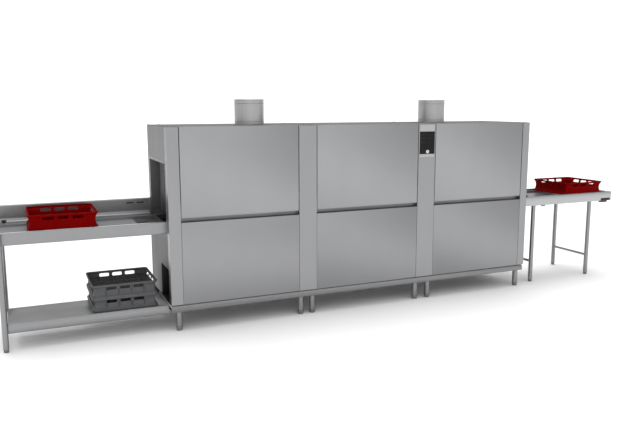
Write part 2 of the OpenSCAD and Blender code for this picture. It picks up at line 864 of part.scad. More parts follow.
// Undershelf: a tray with a deep front lip and a shallow back lip
module entry_shelf() {
    color(steel) placed() {
        block([shelf_x[0], table_y, shelf_z - sheet], [shelf_x[1], table_y + shelf_d, shelf_z]);
        block([shelf_x[0], table_y, shelf_z - shelf_lip], [shelf_x[1], table_y + sheet, shelf_z - sheet]);
        block(
            [shelf_x[0], table_y + shelf_d - sheet, shelf_z - shelf_lip / 2],
            [shelf_x[1], table_y + shelf_d, shelf_z - sheet]
        );
        block([entry_leg_x, table_y, shelf_z - shelf_lip], [shelf_x[0], table_y + sheet, shelf_z]);
    }
}

// Table legs, with a low cross bar between the front and rear leg of each pair
module table_legs() {
    color(steel) placed() {
        leg_tube(entry_leg_x, entry_leg_y[0], rim_z - over);
        leg_tube(entry_leg_x, entry_leg_y[1], table_floor_z - sheet);
        cross_bar(entry_leg_x, entry_leg_y, shelf_z - shelf_lip - cross_r - sheet);
        for (x = exit_leg_x) {
            for (y = exit_leg_y) leg_tube(x, y, y < lane_y ? rim_z - rim_h : table_floor_z - sheet);
            cross_bar(x, exit_leg_y, cross_z);
        }
    }
}
module leg_tube(x, y, top) { translate([x, y, foot_h]) cylinder(r = leg_r, h = top - foot_h); }
module cross_bar(x, ys, z) { translate([x, ys[0], z]) along_y(cross_r, ys[1] - ys[0]); }

// Discharge table: a trough with two rims, an end rim, a drain stub and a lever slot
module exit_table_top() {
    x1 = machine_l + exit_l;
    color(steel) placed() difference() {
        union() {
            block([machine_l, table_y, table_floor_z - sheet], [x1, exit_back_y, table_floor_z]);
            table_rim(machine_l, x1, table_y, rim_z);
            table_rim(machine_l, x1, exit_back_y - rim_t, rim_z);
            block([x1 - rim_t, table_y, rim_z - rim_h], [x1, exit_back_y, rim_z]);
            table_slides(machine_l, x1 - rim_t - lever_r);
            translate([stub_x, stub_y, rim_z - rim_h - rim_t]) {
                cylinder(r = stub_r, h = table_floor_z - sheet - rim_z + rim_h + rim_t);
            }
        }
        translate([stub_x, stub_y, 0]) cylinder(r = stub_r - stub_wall, h = lane_z);
        block(
            [lever_x - lever_r, lane_mid_y - lever_w, table_floor_z - rim_t],
            [x1 - rim_t - over, lane_mid_y + lever_w, table_floor_z + over]
        );
    }
}
module limit_switch() {
    color(black) placed() {
        x1 = machine_l + exit_l - rim_t - over;
        block(
            [x1 - switch_l, table_y + rim_t + over, rim_z - rim_h - rim_t],
            [x1, table_y + rim_t + lever_w, rim_z - rim_h + switch_h - rim_t]
        );
        block(
            [x1 - switch_l, table_y + rim_t + lever_w - sheet, rim_z - rim_h + switch_h - rim_t],
            [x1, table_y + rim_t + lever_w, table_floor_z - sheet]
        );
        for (side = [-lever_w, lever_w - plate_t]) {
            difference() {
                block(
                    [lever_x - lever_r, lane_mid_y + side, table_floor_z - switch_h - sheet],
                    [lever_x + lever_r, lane_mid_y + side + plate_t, table_floor_z - sheet]
                );
                translate([lever_x, lane_mid_y + side - over, lever_z]) {
                    along_y(pin_r + pin_gap, plate_t + 2 * over);
                }
            }
        }
    }
}
module stop_lever() {
    color(steel) placed() translate([lever_x, lane_mid_y, lever_z]) {
        translate([0, -lever_w, 0]) along_y(pin_r, 2 * lever_w);
        block(
            [-lever_t / 2, -lever_w + plate_t + over, -pin_r],
            [lever_t / 2, lever_w - plate_t - over, lane_z + rail_w - lever_z]
        );
    }
}

// A square rack with a grid floor, lipped walls and three hand slots in each side
module rack(x, y, z, h, tint) {
    color(tint) placed() translate([x, y, z + run_gap]) difference() {
        union() {
            rack_ring(rack_lip, rack_wall, 0, h);
            rack_ring(0, rack_wall + rack_lip, 0, rack_lip_h);
            rack_ring(0, rack_wall + rack_lip, h - rack_lip_h, rack_lip_h);
            linear_extrude(rack_wall) difference() {
                translate([rack_lip, rack_lip]) square(rack_w - 2 * rack_lip);
                rack_grid();
            }
        }
        for (i = [0 : slot_n - 1]) {
            slot_0 = rack_w / 2 + (i - (slot_n - 1) / 2) * hand_pitch - hand_slot[0] / 2;
            slot_z = [h - rack_lip_h - hand_slot[1] - rack_lip, h - rack_lip_h - rack_lip];
            block([slot_0, -over, slot_z[0]], [slot_0 + hand_slot[0], rack_w + over, slot_z[1]]);
            block([-over, slot_0, slot_z[0]], [rack_w + over, slot_0 + hand_slot[0], slot_z[1]]);
        }
    }
}
module rack_ring(inset, t, z, h) {
    translate([0, 0, z]) linear_extrude(h) difference() {
        translate([inset, inset]) square(rack_w - 2 * inset);
        translate([inset + t, inset + t]) square(rack_w - 2 * inset - 2 * t);
    }
}
module rack_grid() {
    inner = rack_w - 2 * rack_lip - 2 * rack_wall;
    pitch = (inner + grid_bar) / grid_n;
    start = rack_lip + rack_wall;
    for (i = [0 : grid_n - 1]) for (j = [0 : grid_n - 1]) {
        translate([start + i * pitch, start + j * pitch]) square(pitch - grid_bar);
    }
}
module entry_rack() { rack(entry_rack_x, lane_y, lane_z, rack_h, rack_red); }
module exit_rack() { rack(exit_rack_x, lane_y, lane_z, rack_h, rack_red); }
module shelf_rack_lower() { rack(shelf_rack_x, shelf_rack_y, shelf_z, glass_rack_h, rack_grey); }
module shelf_rack_upper() {
    rack(shelf_rack_x, shelf_rack_y, shelf_z + glass_rack_h + run_gap, glass_rack_h, rack_grey);
}

// Drain, water inlet and cable gland, pointing down behind the base frame
module service_connections() {
    color(dark_steel) placed() translate([service_x, service_y, 0]) difference() {
        union() {
            block(
                [-service_pitch / 2, -service_pitch / 2, rail_h[1]],
                [service_pitch * 5 / 2, machine_d - rail_y[1] - service_y, rail_h[1] + 2 * sheet]
            );
            for (i = [0 : 2]) translate([i * service_pitch, 0, service_z]) {
                cylinder(r = service_r[i], h = rail_h[1] - service_z + sheet);
            }
        }
        for (i = [0 : 2]) translate([i * service_pitch, 0, 0]) {
            cylinder(r = service_r[i] - service_wall, h = machine_h);
        }
    }
}

base_frame();
machine_legs();
levelling_feet();
corner_posts();
column_1();
column_2();
lower_panels();
roof_and_rear_panels();
entry_end_panel();
exit_end_panel();
chamber_front();
chamber_shell();
wash_tanks();
tank_strainers();
pump_bodies();
impeller_1();
impeller_2();
impeller_3();
wash_pipes();
rinse_system();
electrical_box();
rack_rails();
pawl_bar();
rack_pawl();
gearmotor();
drive_crank();
connecting_rod();
blower_housing();
blower_fan();
entry_curtain();
exit_curtain();
exhaust_spigots();
damper_1();
damper_2();
door_1();
door_2();
door_3();
lift_shaft_1();
lift_shaft_2();
lift_shaft_3();
counterweights_1();
counterweights_2();
counterweights_3();
lift_ropes_1();
lift_ropes_2();
lift_ropes_3();
control_panel();
display_glass();
start_button();
entry_table_top();
entry_splashback();
entry_shelf();
table_legs();
exit_table_top();
limit_switch();
stop_lever();
entry_rack();
exit_rack();
shelf_rack_lower();
shelf_rack_upper();
service_connections();
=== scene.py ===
"""Looks of a rack-conveyor dishwasher: satin steel casing, exhausts, controls, tables and racks."""

import math
import random

import bmesh
import bpy
from mathutils import Matrix, Vector


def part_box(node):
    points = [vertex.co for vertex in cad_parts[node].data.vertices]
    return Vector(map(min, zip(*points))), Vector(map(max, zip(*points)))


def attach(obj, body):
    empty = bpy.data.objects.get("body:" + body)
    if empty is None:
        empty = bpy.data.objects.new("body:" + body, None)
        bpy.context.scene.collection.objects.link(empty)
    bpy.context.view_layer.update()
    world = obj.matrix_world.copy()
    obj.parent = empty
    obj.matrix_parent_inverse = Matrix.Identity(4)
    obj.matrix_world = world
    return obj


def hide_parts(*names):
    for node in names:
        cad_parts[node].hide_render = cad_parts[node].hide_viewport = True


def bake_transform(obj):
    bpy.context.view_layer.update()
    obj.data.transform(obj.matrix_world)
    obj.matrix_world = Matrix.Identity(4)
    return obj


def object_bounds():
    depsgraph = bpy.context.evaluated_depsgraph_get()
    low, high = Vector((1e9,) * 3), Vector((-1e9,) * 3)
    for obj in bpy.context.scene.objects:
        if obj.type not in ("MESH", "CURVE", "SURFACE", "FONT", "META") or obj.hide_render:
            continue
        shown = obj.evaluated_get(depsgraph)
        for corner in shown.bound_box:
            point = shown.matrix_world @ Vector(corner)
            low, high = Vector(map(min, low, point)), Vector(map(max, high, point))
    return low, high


bl_info = {
    "name": "Rack Conveyor Dishwasher",
    "version": (1, 0, 0),
    "blender": (4, 5, 0),
    "location": "3D View > Sidebar > Dishwasher",
    "description": "Adds the finishes and fine details of a rack-conveyor dishwasher to its packed model",
    "category": "Add Mesh",
}

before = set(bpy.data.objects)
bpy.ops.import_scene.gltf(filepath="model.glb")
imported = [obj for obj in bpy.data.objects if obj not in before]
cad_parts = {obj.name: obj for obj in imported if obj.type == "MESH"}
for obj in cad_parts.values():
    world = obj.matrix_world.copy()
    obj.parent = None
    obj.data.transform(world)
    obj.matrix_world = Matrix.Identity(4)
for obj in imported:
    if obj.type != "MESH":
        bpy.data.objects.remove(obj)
CAD_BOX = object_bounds()
MM = 0.001
DOORS = 3


# ---------------------------------------------------------------- properties


class SteelSettings(bpy.types.PropertyGroup):
    """Colours and wear of the stainless steel."""

    casing: bpy.props.FloatVectorProperty(
        name="Casing", description="Colour of the outer panels", subtype="COLOR",
        size=3, min=0.0, max=1.0, default=(0.31, 0.312, 0.318),
    )
    inner: bpy.props.FloatVectorProperty(
        name="Inner", description="Colour of the steel inside the tunnel", subtype="COLOR",
        size=3, min=0.0, max=1.0, default=(0.20, 0.203, 0.208),
    )
    duct: bpy.props.FloatVectorProperty(
        name="Exhausts", description="Colour of the exhaust spigots", subtype="COLOR",
        size=3, min=0.0, max=1.0, default=(0.36, 0.36, 0.365),
    )
    roughness: bpy.props.FloatProperty(
        name="Roughness", description="How dull the satin finish is", subtype="FACTOR",
        min=0.05, max=0.9, default=0.42,
    )
    fold: bpy.props.FloatProperty(
        name="Fold radius", description="Radius of the folded edges", unit="LENGTH",
        subtype="DISTANCE", min=0.0, max=0.004, default=0.0016,
    )


class RackSettings(bpy.types.PropertyGroup):
    """Colours and sizes of the dish racks."""

    red: bpy.props.FloatVectorProperty(
        name="Plate rack", description="Colour of the plate racks", subtype="COLOR",
        size=3, min=0.0, max=1.0, default=(0.165, 0.0004, 0.0006),
    )
    grey: bpy.props.FloatVectorProperty(
        name="Glass rack", description="Colour of the glass racks", subtype="COLOR",
        size=3, min=0.0, max=1.0, default=(0.095, 0.096, 0.099),
    )
    wall: bpy.props.FloatProperty(
        name="Wall", description="Wall thickness of a rack", unit="LENGTH",
        subtype="DISTANCE", min=0.002, max=0.008, default=0.005,
    )
    corner: bpy.props.FloatProperty(
        name="Corner radius", description="Radius of a rack's upright corners", unit="LENGTH",
        subtype="DISTANCE", min=0.01, max=0.05, default=0.026,
    )
    peg: bpy.props.FloatProperty(
        name="Peg height", description="Height of the plate pegs above the grid", unit="LENGTH",
        subtype="DISTANCE", min=0.02, max=0.1, default=0.062,
    )


class StageSettings(bpy.types.PropertyGroup):
    """Floor, light and camera."""

    floor: bpy.props.FloatVectorProperty(
        name="Floor", description="Colour of the studio floor", subtype="COLOR",
        size=3, min=0.0, max=1.0, default=(0.93, 0.93, 0.93),
    )
    sky: bpy.props.FloatProperty(
        name="Sky", description="Strength of the light from all round", min=0.0, max=5.0, default=1.0,
    )
    lens: bpy.props.FloatProperty(
        name="Lens", description="Focal length of the camera in millimetres", min=10.0, max=200.0,
        default=37.87,
    )


# ------------------------------------------------------------------- meshes


def filleted(points, radius, steps=5):
    """An open line with its inner corners rounded by arcs. Points are 2D or 3D."""
    path = [Vector(p) for p in points]
    result = [path[0]]
    for before, corner, after in zip(path, path[1:], path[2:]):
        back, ahead = before - corner, after - corner
        turn = math.pi - back.angle(ahead)
        if turn < 1e-3:
            result.append(corner)
            continue
        reach = min(radius * math.tan(turn / 2), back.length * 0.49, ahead.length * 0.49)
        start, end = corner + back.normalized() * reach, corner + ahead.normalized() * reach
        for i in range(steps + 1):
            t = i / steps
            near = start.lerp(corner, t)
            far = corner.lerp(end, t)
            result.append(near.lerp(far, t))
    result.append(path[-1])
    return result


def prism(outline, axis, start, end):
    """A solid with a 2D outline drawn out along x, y or z. The outline keeps the other two in order."""
    place = {
        "x": lambda p, t: (t, p[0], p[1]),
        "y": lambda p, t: (p[0], t, p[1]),
        "z": lambda p, t: (p[0], p[1], t),
    }[axis]
    shape = bmesh.new()
    near = [shape.verts.new(place(p, start)) for p in outline]
    far = [shape.verts.new(place(p, end)) for p in outline]
    count = len(outline)
    for i in range(count):
        j = (i + 1) % count
        shape.faces.new((near[i], near[j], far[j], far[i]))
    shape.faces.new(near[::-1])
    shape.faces.new(far)
    return mesh_of(shape)


def mesh_of(shape):
    bmesh.ops.recalc_face_normals(shape, faces=shape.faces)
    mesh = bpy.data.meshes.new("shape")
    shape.to_mesh(mesh)
    shape.free()
    return mesh


def block(low, high, radius, steps=2):
    """A box with rounded edges."""
    low, high = Vector(low), Vector(high)
    shape = bmesh.new()
    bmesh.ops.create_cube(shape, size=1.0)
    for vert in shape.verts:
        vert.co = Vector(low[i] + (vert.co[i] + 0.5) * (high[i] - low[i]) for i in range(3))
    bmesh.ops.bevel(
        shape, geom=list(shape.edges), offset=min(radius, min(high - low) * 0.45),
        segments=steps, profile=0.5, affect="EDGES",
    )
    return mesh_of(shape)


AXES = {
    "x": Matrix(((0, 0, 1), (1, 0, 0), (0, 1, 0))).to_4x4(),
    "y": Matrix(((1, 0, 0), (0, 0, 1), (0, -1, 0))).to_4x4(),
    "z": Matrix.Identity(4),
}


def turned(profile, centre, axis="z", segments=40, sweep=2 * math.pi):
    """A turned shape: (radius, height) points revolved round an axis through the centre."""
    shape = bmesh.new()
    whole = abs(sweep - 2 * math.pi) < 1e-6
    rings = []
    for i in range(segments if whole else segments + 1):
        angle = sweep * i / segments
        rings.append([
            shape.verts.new((r * math.cos(angle), r * math.sin(angle), h)) for r, h in profile
        ])
    for i in range(segments):
        a, b = rings[i], rings[(i + 1) % len(rings)]
        for j in range(len(profile) - 1):
            corners = (a[j], b[j], b[j + 1], a[j + 1])
            shape.faces.new(corners)
    bmesh.ops.remove_doubles(shape, verts=shape.verts, dist=1e-6)
    mesh = mesh_of(shape)
    mesh.transform(Matrix.Translation(centre) @ AXES[axis])
    return mesh


def pipe(points, radius, bend=0.0, sides=8):
    """A round tube along a line, with rounded bends."""
    path = filleted(points, bend) if bend else [Vector(p) for p in points]
    curve = bpy.data.curves.new("pipe", "CURVE")
    curve.dimensions = "3D"
    curve.bevel_depth = radius
    curve.bevel_resolution = sides // 2
    curve.use_fill_caps = True
    spline = curve.splines.new("POLY")
    spline.points.add(len(path) - 1)
    for point, co in zip(spline.points, path):
        point.co = (*co, 1.0)
    return from_curve(curve)


def from_curve(curve):
    holder = bpy.data.objects.new("holder", curve)
    bpy.context.scene.collection.objects.link(holder)
    bpy.context.view_layer.update()
    seen = holder.evaluated_get(bpy.context.evaluated_depsgraph_get())
    mesh = bpy.data.meshes.new_from_object(seen)
    bpy.data.objects.remove(holder)
    bpy.data.curves.remove(curve)
    return mesh


def rounded_rectangle(x0, y0, x1, y1, radius, steps=4):
    """Points of a rectangle with rounded corners, anticlockwise."""
    centres = (
        (x1 - radius, y1 - radius, 0), (x0 + radius, y1 - radius, 1),
        (x0 + radius, y0 + radius, 2), (x1 - radius, y0 + radius, 3),
    )
    return [
        (cx + radius * math.cos(a), cy + radius * math.sin(a))
        for cx, cy, quarter in centres
        for a in (math.pi / 2 * (quarter + i / steps) for i in range(steps + 1))
    ]


def plate(outline, holes, thickness, edge=0.0):
    """A flat plate in x and y with holes, centred on z = 0, its rims softened by edge."""
    curve = bpy.data.curves.new("plate", "CURVE")
    curve.dimensions = "2D"
    curve.fill_mode = "BOTH"
    curve.extrude = thickness / 2 - edge
    curve.bevel_depth = edge
    curve.bevel_resolution = 0
    curve.offset = -edge
    for loop in [outline] + list(holes):
        spline = curve.splines.new("POLY")
        spline.points.add(len(loop) - 1)
        for point, co in zip(spline.points, loop):
            point.co = (co[0], co[1], 0.0, 1.0)
        spline.use_cyclic_u = True
    return from_curve(curve)


def hoop(path, profile, height):
    """A closed rim: an (outward, up) profile carried round a closed level path."""
    shape = bmesh.new()
    count = len(path)
    rings = []
    for i, point in enumerate(path):
        along = Vector(path[(i + 1) % count]) - Vector(path[i - 1])
        outward = Vector((along.y, -along.x)).normalized()
        rings.append([
            shape.verts.new((point[0] + outward.x * u, point[1] + outward.y * u, height + v))
            for u, v in profile
        ])
    for i in range(count):
        a, b = rings[i], rings[(i + 1) % count]
        for j in range(len(profile)):
            k = (j + 1) % len(profile)
            shape.faces.new((a[j], b[j], b[k], a[k]))
    return mesh_of(shape)


def cut(mesh, cutters):
    """A mesh with the cutters taken out of it."""
    tool = bpy.data.objects.new("tool", joined(cutters))
    target = bpy.data.objects.new("target", mesh)
    for thing in (tool, target):
        bpy.context.scene.collection.objects.link(thing)
    difference = target.modifiers.new("cut", "BOOLEAN")
    difference.operation = "DIFFERENCE"
    difference.solver = "EXACT"
    difference.object = tool
    bpy.context.view_layer.update()
    result = bpy.data.meshes.new_from_object(target.evaluated_get(bpy.context.evaluated_depsgraph_get()))
    for thing in (tool, target):
        shape = thing.data
        bpy.data.objects.remove(thing)
        bpy.data.meshes.remove(shape)
    return result


def moved(mesh, *matrices):
    for matrix in matrices:
        mesh.transform(matrix)
    return mesh


def joined(meshes):
    shape = bmesh.new()
    for mesh in meshes:
        shape.from_mesh(mesh)
        bpy.data.meshes.remove(mesh)
    whole = bpy.data.meshes.new("joined")
    shape.to_mesh(whole)
    shape.free()
    return whole


def piece(name, meshes, material, body, smooth=34.0, replaces=()):
    """One visible piece of the machine, riding on a body; with no body, it rides on none."""
    mesh = joined(meshes)
    mesh.name = name
    mesh.materials.clear()
    mesh.materials.append(material)
    for polygon in mesh.polygons:
        polygon.material_index = 0
    mesh.shade_smooth()
    mesh.set_sharp_from_angle(angle=math.radians(smooth))
    thing = bpy.data.objects.new(name, mesh)
    bpy.context.scene.collection.objects.link(thing)
    if body:
        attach(thing, body)
    if replaces:
        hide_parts(*replaces)
    return thing


# ---------------------------------------------------------------- materials


def shader_of(name):
    """A new material and its principled shader."""
    material = bpy.data.materials.new(name)
    material.use_nodes = True
    return material, material.node_tree, material.node_tree.nodes["Principled BSDF"]


def object_space(tree, scale):
    """Object coordinates stretched by a scale on each axis."""
    place = tree.nodes.new("ShaderNodeTexCoord")
    mapping = tree.nodes.new("ShaderNodeMapping")
    mapping.inputs["Scale"].default_value = scale
    tree.links.new(place.outputs["Object"], mapping.inputs["Vector"])
    return mapping.outputs["Vector"]


def noise(tree, scale, detail=3.0, rough=0.5, space=(1.0, 1.0, 1.0)):
    """A noise value in object space."""
    made = tree.nodes.new("ShaderNodeTexNoise")
    made.inputs["Scale"].default_value = scale
    made.inputs["Detail"].default_value = detail
    made.inputs["Roughness"].default_value = rough
    tree.links.new(object_space(tree, space), made.inputs["Vector"])
    return made.outputs["Fac"]


def ranged(tree, value, low, high, start=0.3, stop=0.7):
    """A value between start and stop spread between low and high."""
    made = tree.nodes.new("ShaderNodeMapRange")
    made.inputs["From Min"].default_value = start
    made.inputs["From Max"].default_value = stop
    made.inputs["To Min"].default_value = low
    made.inputs["To Max"].default_value = high
    tree.links.new(value, made.inputs["Value"])
    return made.outputs["Result"]


def multiplied(tree, first, second):
    made = tree.nodes.new("ShaderNodeMath")
    made.operation = "MULTIPLY"
    tree.links.new(first, made.inputs[0])
    tree.links.new(second, made.inputs[1])
    return made.outputs["Value"]


def tinted(tree, colour, value):
    """A colour made lighter and darker by a value near one."""
    made = tree.nodes.new("ShaderNodeVectorMath")
    made.operation = "SCALE"
    made.inputs[0].default_value = colour
    tree.links.new(value, made.inputs["Scale"])
    return made.outputs["Vector"]


def bumped(tree, shader, height, distance, strength=1.0):
    made = tree.nodes.new("ShaderNodeBump")
    made.inputs["Distance"].default_value = distance
    made.inputs["Strength"].default_value = strength
    tree.links.new(height, made.inputs["Height"])
    tree.links.new(made.outputs["Normal"], shader.inputs["Normal"])


GRAIN = {"x": (1.2, 90.0, 90.0), "y": (90.0, 1.2, 90.0), "z": (90.0, 90.0, 1.2)}


def brushed_steel(name, colour, roughness, grain="x", streak=0.05, cloud=0.05, metallic=1.0, foot=1.0):
    """Satin stainless sheet: fine brush lines one way, with soft clouding and wiped patches. A foot below one
    darkens the colour towards the bottom as painted shade.
    """
    material, tree, shader = shader_of(name)
    lines = noise(tree, 5.0, 4.0, 0.55, GRAIN[grain])
    clouds = noise(tree, 1.7, 3.0, 0.5)
    wipes = noise(tree, 5.5, 4.0, 0.6, (1.0, 1.0, 0.35))
    shade = multiplied(
        tree,
        ranged(tree, lines, 1.0 - streak, 1.0 + streak),
        ranged(tree, clouds, 1.0 - cloud, 1.0 + cloud),
    )
    # Painted shade: a foot below one darkens the colour towards the bottom of the part, for the shade under
    # the tables
    if foot < 1.0:
        split = tree.nodes.new("ShaderNodeSeparateXYZ")
        tree.links.new(object_space(tree, (1.0, 1.0, 1.0)), split.inputs["Vector"])
        shade = multiplied(tree, shade, ranged(tree, split.outputs["Z"], foot, 1.0, 0.72, 0.95))
    tree.links.new(tinted(tree, colour, shade), shader.inputs["Base Color"])
    rough = multiplied(
        tree,
        ranged(tree, lines, roughness * 0.93, roughness * 1.07),
        ranged(tree, wipes, 0.94, 1.06),
    )
    tree.links.new(rough, shader.inputs["Roughness"])
    shader.inputs["Metallic"].default_value = metallic
    shader.inputs["Anisotropic"].default_value = 0.35
    bumped(tree, shader, lines, 0.00004)
    return material


def plain_plastic(name, colour, roughness, grain_size=900.0, depth=0.00005, scuff=0.12, sheen=0.3):
    """Moulded plastic: a fine grain, slight colour drift and duller rubbed patches."""
    material, tree, shader = shader_of(name)
    drift = noise(tree, 14.0, 4.0, 0.6)
    grain = noise(tree, grain_size, 2.0, 0.5)
    tree.links.new(
        tinted(tree, colour, ranged(tree, drift, 1.0 - scuff, 1.0 + scuff)),
        shader.inputs["Base Color"],
    )
    tree.links.new(ranged(tree, drift, roughness * 0.85, roughness * 1.2), shader.inputs["Roughness"])
    shader.inputs["Specular IOR Level"].default_value = sheen
    bumped(tree, shader, grain, depth)
    return material


def dull_roof(name, colour):
    """Dull steel, darker than the casing, with a mottled tone and fine specks, for the top of the machine."""
    material, tree, shader = shader_of(name)
    mottle = noise(tree, 6.0, 6.0, 0.65)
    specks = noise(tree, 160.0, 3.0, 0.6)
    shade = multiplied(tree, ranged(tree, mottle, 0.78, 1.2), ranged(tree, specks, 0.9, 1.08))
    tree.links.new(tinted(tree, colour, shade), shader.inputs["Base Color"])
    tree.links.new(ranged(tree, mottle, 0.6, 0.85), shader.inputs["Roughness"])
    shader.inputs["Metallic"].default_value = 0.15
    shader.inputs["Specular IOR Level"].default_value = 0.1
    bumped(tree, shader, specks, 0.0001)
    return material


def cast_finish(name, colour, roughness, metallic, scale=220.0, depth=0.0003):
    """Rough cast or painted metal with an orange-peel surface."""
    material, tree, shader = shader_of(name)
    peel = noise(tree, scale, 4.0, 0.6)
    drift = noise(tree, 8.0, 3.0, 0.5)
    tree.links.new(tinted(tree, colour, ranged(tree, drift, 0.85, 1.15)), shader.inputs["Base Color"])
    tree.links.new(ranged(tree, peel, roughness * 0.85, roughness * 1.15), shader.inputs["Roughness"])
    shader.inputs["Metallic"].default_value = metallic
    bumped(tree, shader, peel, depth)
    return material


def dark_glass(name):
    """A polished black cover with faint finger marks."""
    material, tree, shader = shader_of(name)
    marks = noise(tree, 60.0, 5.0, 0.7)
    tree.links.new(
        tinted(tree, (0.007, 0.007, 0.0065), ranged(tree, marks, 0.8, 1.3)),
        shader.inputs["Base Color"],
    )
    tree.links.new(ranged(tree, marks, 0.1, 0.22), shader.inputs["Roughness"])
    shader.inputs["Specular IOR Level"].default_value = 0.12
    shader.inputs["Coat Weight"].default_value = 0.05
    return material


def lit_segment(name, colour, strength):
    material, tree, shader = shader_of(name)
    glow = noise(tree, 400.0, 2.0)
    tree.links.new(tinted(tree, colour, ranged(tree, glow, 0.9, 1.1)), shader.inputs["Base Color"])
    shader.inputs["Emission Color"].default_value = (*colour, 1.0)
    shader.inputs["Emission Strength"].default_value = strength
    shader.inputs["Roughness"].default_value = 0.4
    return material


FINISH = {}


def mix_finishes():
    """Makes every material once, from the settings."""
    steel = bpy.context.scene.dishwasher_steel
    racks = bpy.context.scene.dishwasher_racks
    casing, inner, duct = tuple(steel.casing), tuple(steel.inner), tuple(steel.duct)
    rough = steel.roughness
    FINISH["panel"] = brushed_steel("satin_panel", tuple(c * 1.08 for c in casing), rough, "z", 0.012, 0.008)
    FINISH["pan"] = brushed_steel(
        "satin_lower_panel", tuple(casing), rough, "z", 0.012, 0.008,
    )
    FINISH["rail"] = brushed_steel("satin_rail", tuple(c * 0.8 for c in casing), rough, "x", 0.03, 0.03)
    # Painted shade: the end panels get a darker copy of the casing colour, for ends turned from the light,
    # and the foot fade darkens them further towards the bottom
    FINISH["side"] = brushed_steel(
        "shaded_satin_side", tuple(c * 0.66 for c in casing), rough * 1.1, "z", 0.015, 0.02, foot=0.45,
    )
    FINISH["post"] = brushed_steel(
        "satin_post", tuple(casing), rough * 0.95, "z", 0.015, 0.012,
    )
    FINISH["rim"] = brushed_steel("satin_rim", tuple(c * 0.94 for c in casing), rough * 0.8, "x", 0.03, 0.02)
    # Painted highlight: a lighter copy of the rim steel, 1.4 times the casing colour, for the
    # brighter-looking exit rims
    FINISH["bright"] = brushed_steel(
        "bright_rim", tuple(c * 1.4 for c in casing), rough * 0.8, "x", 0.03, 0.02,
    )
    FINISH["table"] = brushed_steel(
        "satin_table", tuple(c * 0.95 for c in casing), rough * 0.9, "x", 0.025, 0.03,
    )
    FINISH["leg"] = brushed_steel("drawn_leg", tuple(c * 0.9 for c in casing), rough * 0.75, "z", 0.04, 0.03)
    FINISH["duct"] = brushed_steel("rolled_duct", duct, rough * 0.7, "z", 0.06, 0.03)
    FINISH["inner"] = brushed_steel("mill_steel", inner, rough * 1.1, "x", 0.04, 0.12)
    FINISH["foot"] = plain_plastic("foot_moulding", (0.16, 0.16, 0.165), 0.55)
    FINISH["roof"] = dull_roof("dull_roof", (0.17, 0.172, 0.176))
    FINISH["roof_trim"] = dull_roof("dull_trim", (0.21, 0.212, 0.216))
    FINISH["dark"] = brushed_steel("dark_mesh_steel", tuple(c * 0.45 for c in inner), 0.5, "x", 0.05, 0.1)
    FINISH["motor"] = cast_finish("motor_enamel", (0.06, 0.085, 0.12), 0.45, 0.1)
    FINISH["iron"] = cast_finish("weight_casting", (0.08, 0.08, 0.082), 0.7, 0.8, 140.0, 0.0006)
    FINISH["black"] = plain_plastic("black_moulding", (0.016, 0.016, 0.017), 0.5)
    FINISH["rubber"] = plain_plastic("curtain_rubber", (0.045, 0.046, 0.05), 0.55, 500.0, 0.00008, 0.2, 0.35)
    FINISH["seal"] = plain_plastic("door_seal", (0.03, 0.03, 0.032), 0.7, 700.0, 0.00006)
    FINISH["rope"] = brushed_steel("rope_wire", tuple(c * 0.5 for c in inner), 0.4, "z", 0.3, 0.1)
    FINISH["silicone"] = plain_plastic("white_silicone", (0.7, 0.7, 0.69), 0.4, 500.0, 0.00004)
    FINISH["red"] = plain_plastic("red_moulding", tuple(racks.red), 0.6, sheen=0.02)
    FINISH["grey"] = plain_plastic("grey_moulding", tuple(racks.grey), 0.5, sheen=0.25)
    FINISH["glass"] = dark_glass("display_cover")
    FINISH["label"] = plain_plastic("label_foil", (0.40, 0.405, 0.41), 0.4, 1500.0, 0.00002, 0.03)
    FINISH["button"] = brushed_steel("button_steel", (0.62, 0.62, 0.63), 0.22, "z", 0.04, 0.02)
    FINISH["lamp"] = lit_segment("display_segment", (0.03, 0.034, 0.036), 0.15)


def soften(node_name, width=None):
    """Rounds the folded edges of a sheet-metal node without touching its mesh."""
    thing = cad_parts[node_name]
    weld = thing.modifiers.new("weld", "WELD")
    weld.merge_threshold = 1e-5
    fold = thing.modifiers.new("fold", "BEVEL")
    fold.width = bpy.context.scene.dishwasher_steel.fold if width is None else width
    fold.segments = 2
    fold.limit_method = "ANGLE"
    fold.angle_limit = math.radians(50)
    fold.harden_normals = True


def dress(node_name, finish):
    """Gives a node's every material slot one finish."""
    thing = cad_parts[node_name]
    if not thing.material_slots:
        thing.data.materials.append(FINISH[finish])
    for material_slot in thing.material_slots:
        material_slot.material = FINISH[finish]


DRESS = {
    "panel": ("door_1", "door_2", "door_3"),
    "pan": ("lower_panels",),
    "label": ("control_panel",),
    "post": ("corner_posts", "column_1", "column_2"),
    "side": ("entry_end_panel", "exit_end_panel"),
    "rail": ("base_frame",),
    "roof": ("roof_and_rear_panels",),
    "leg": ("machine_legs", "table_legs"),
    "table": ("entry_table_top", "entry_splashback", "entry_shelf", "exit_table_top", "stop_lever"),
    "duct": ("exhaust_spigots",),
    "inner": (
        "chamber_front", "chamber_shell", "wash_tanks", "tank_strainers", "wash_pipes",
        "rinse_system", "electrical_box", "rack_rails", "pawl_bar", "rack_pawl", "drive_crank",
        "connecting_rod", "blower_housing", "blower_fan", "damper_1", "damper_2",
        "lift_shaft_1", "lift_shaft_2", "lift_shaft_3", "lift_ropes_1", "lift_ropes_2",
        "lift_ropes_3", "service_connections",
    ),
    "motor": ("pump_bodies", "gearmotor"),
    "iron": ("counterweights_1", "counterweights_2", "counterweights_3"),
    "foot": ("levelling_feet",),
    "black": ("impeller_1", "impeller_2", "impeller_3", "limit_switch"),
    "rubber": ("entry_curtain", "exit_curtain"),
    "glass": ("display_glass",),
    "button": ("start_button",),
    "red": ("entry_rack", "exit_rack"),
    "grey": ("shelf_rack_lower", "shelf_rack_upper"),
}
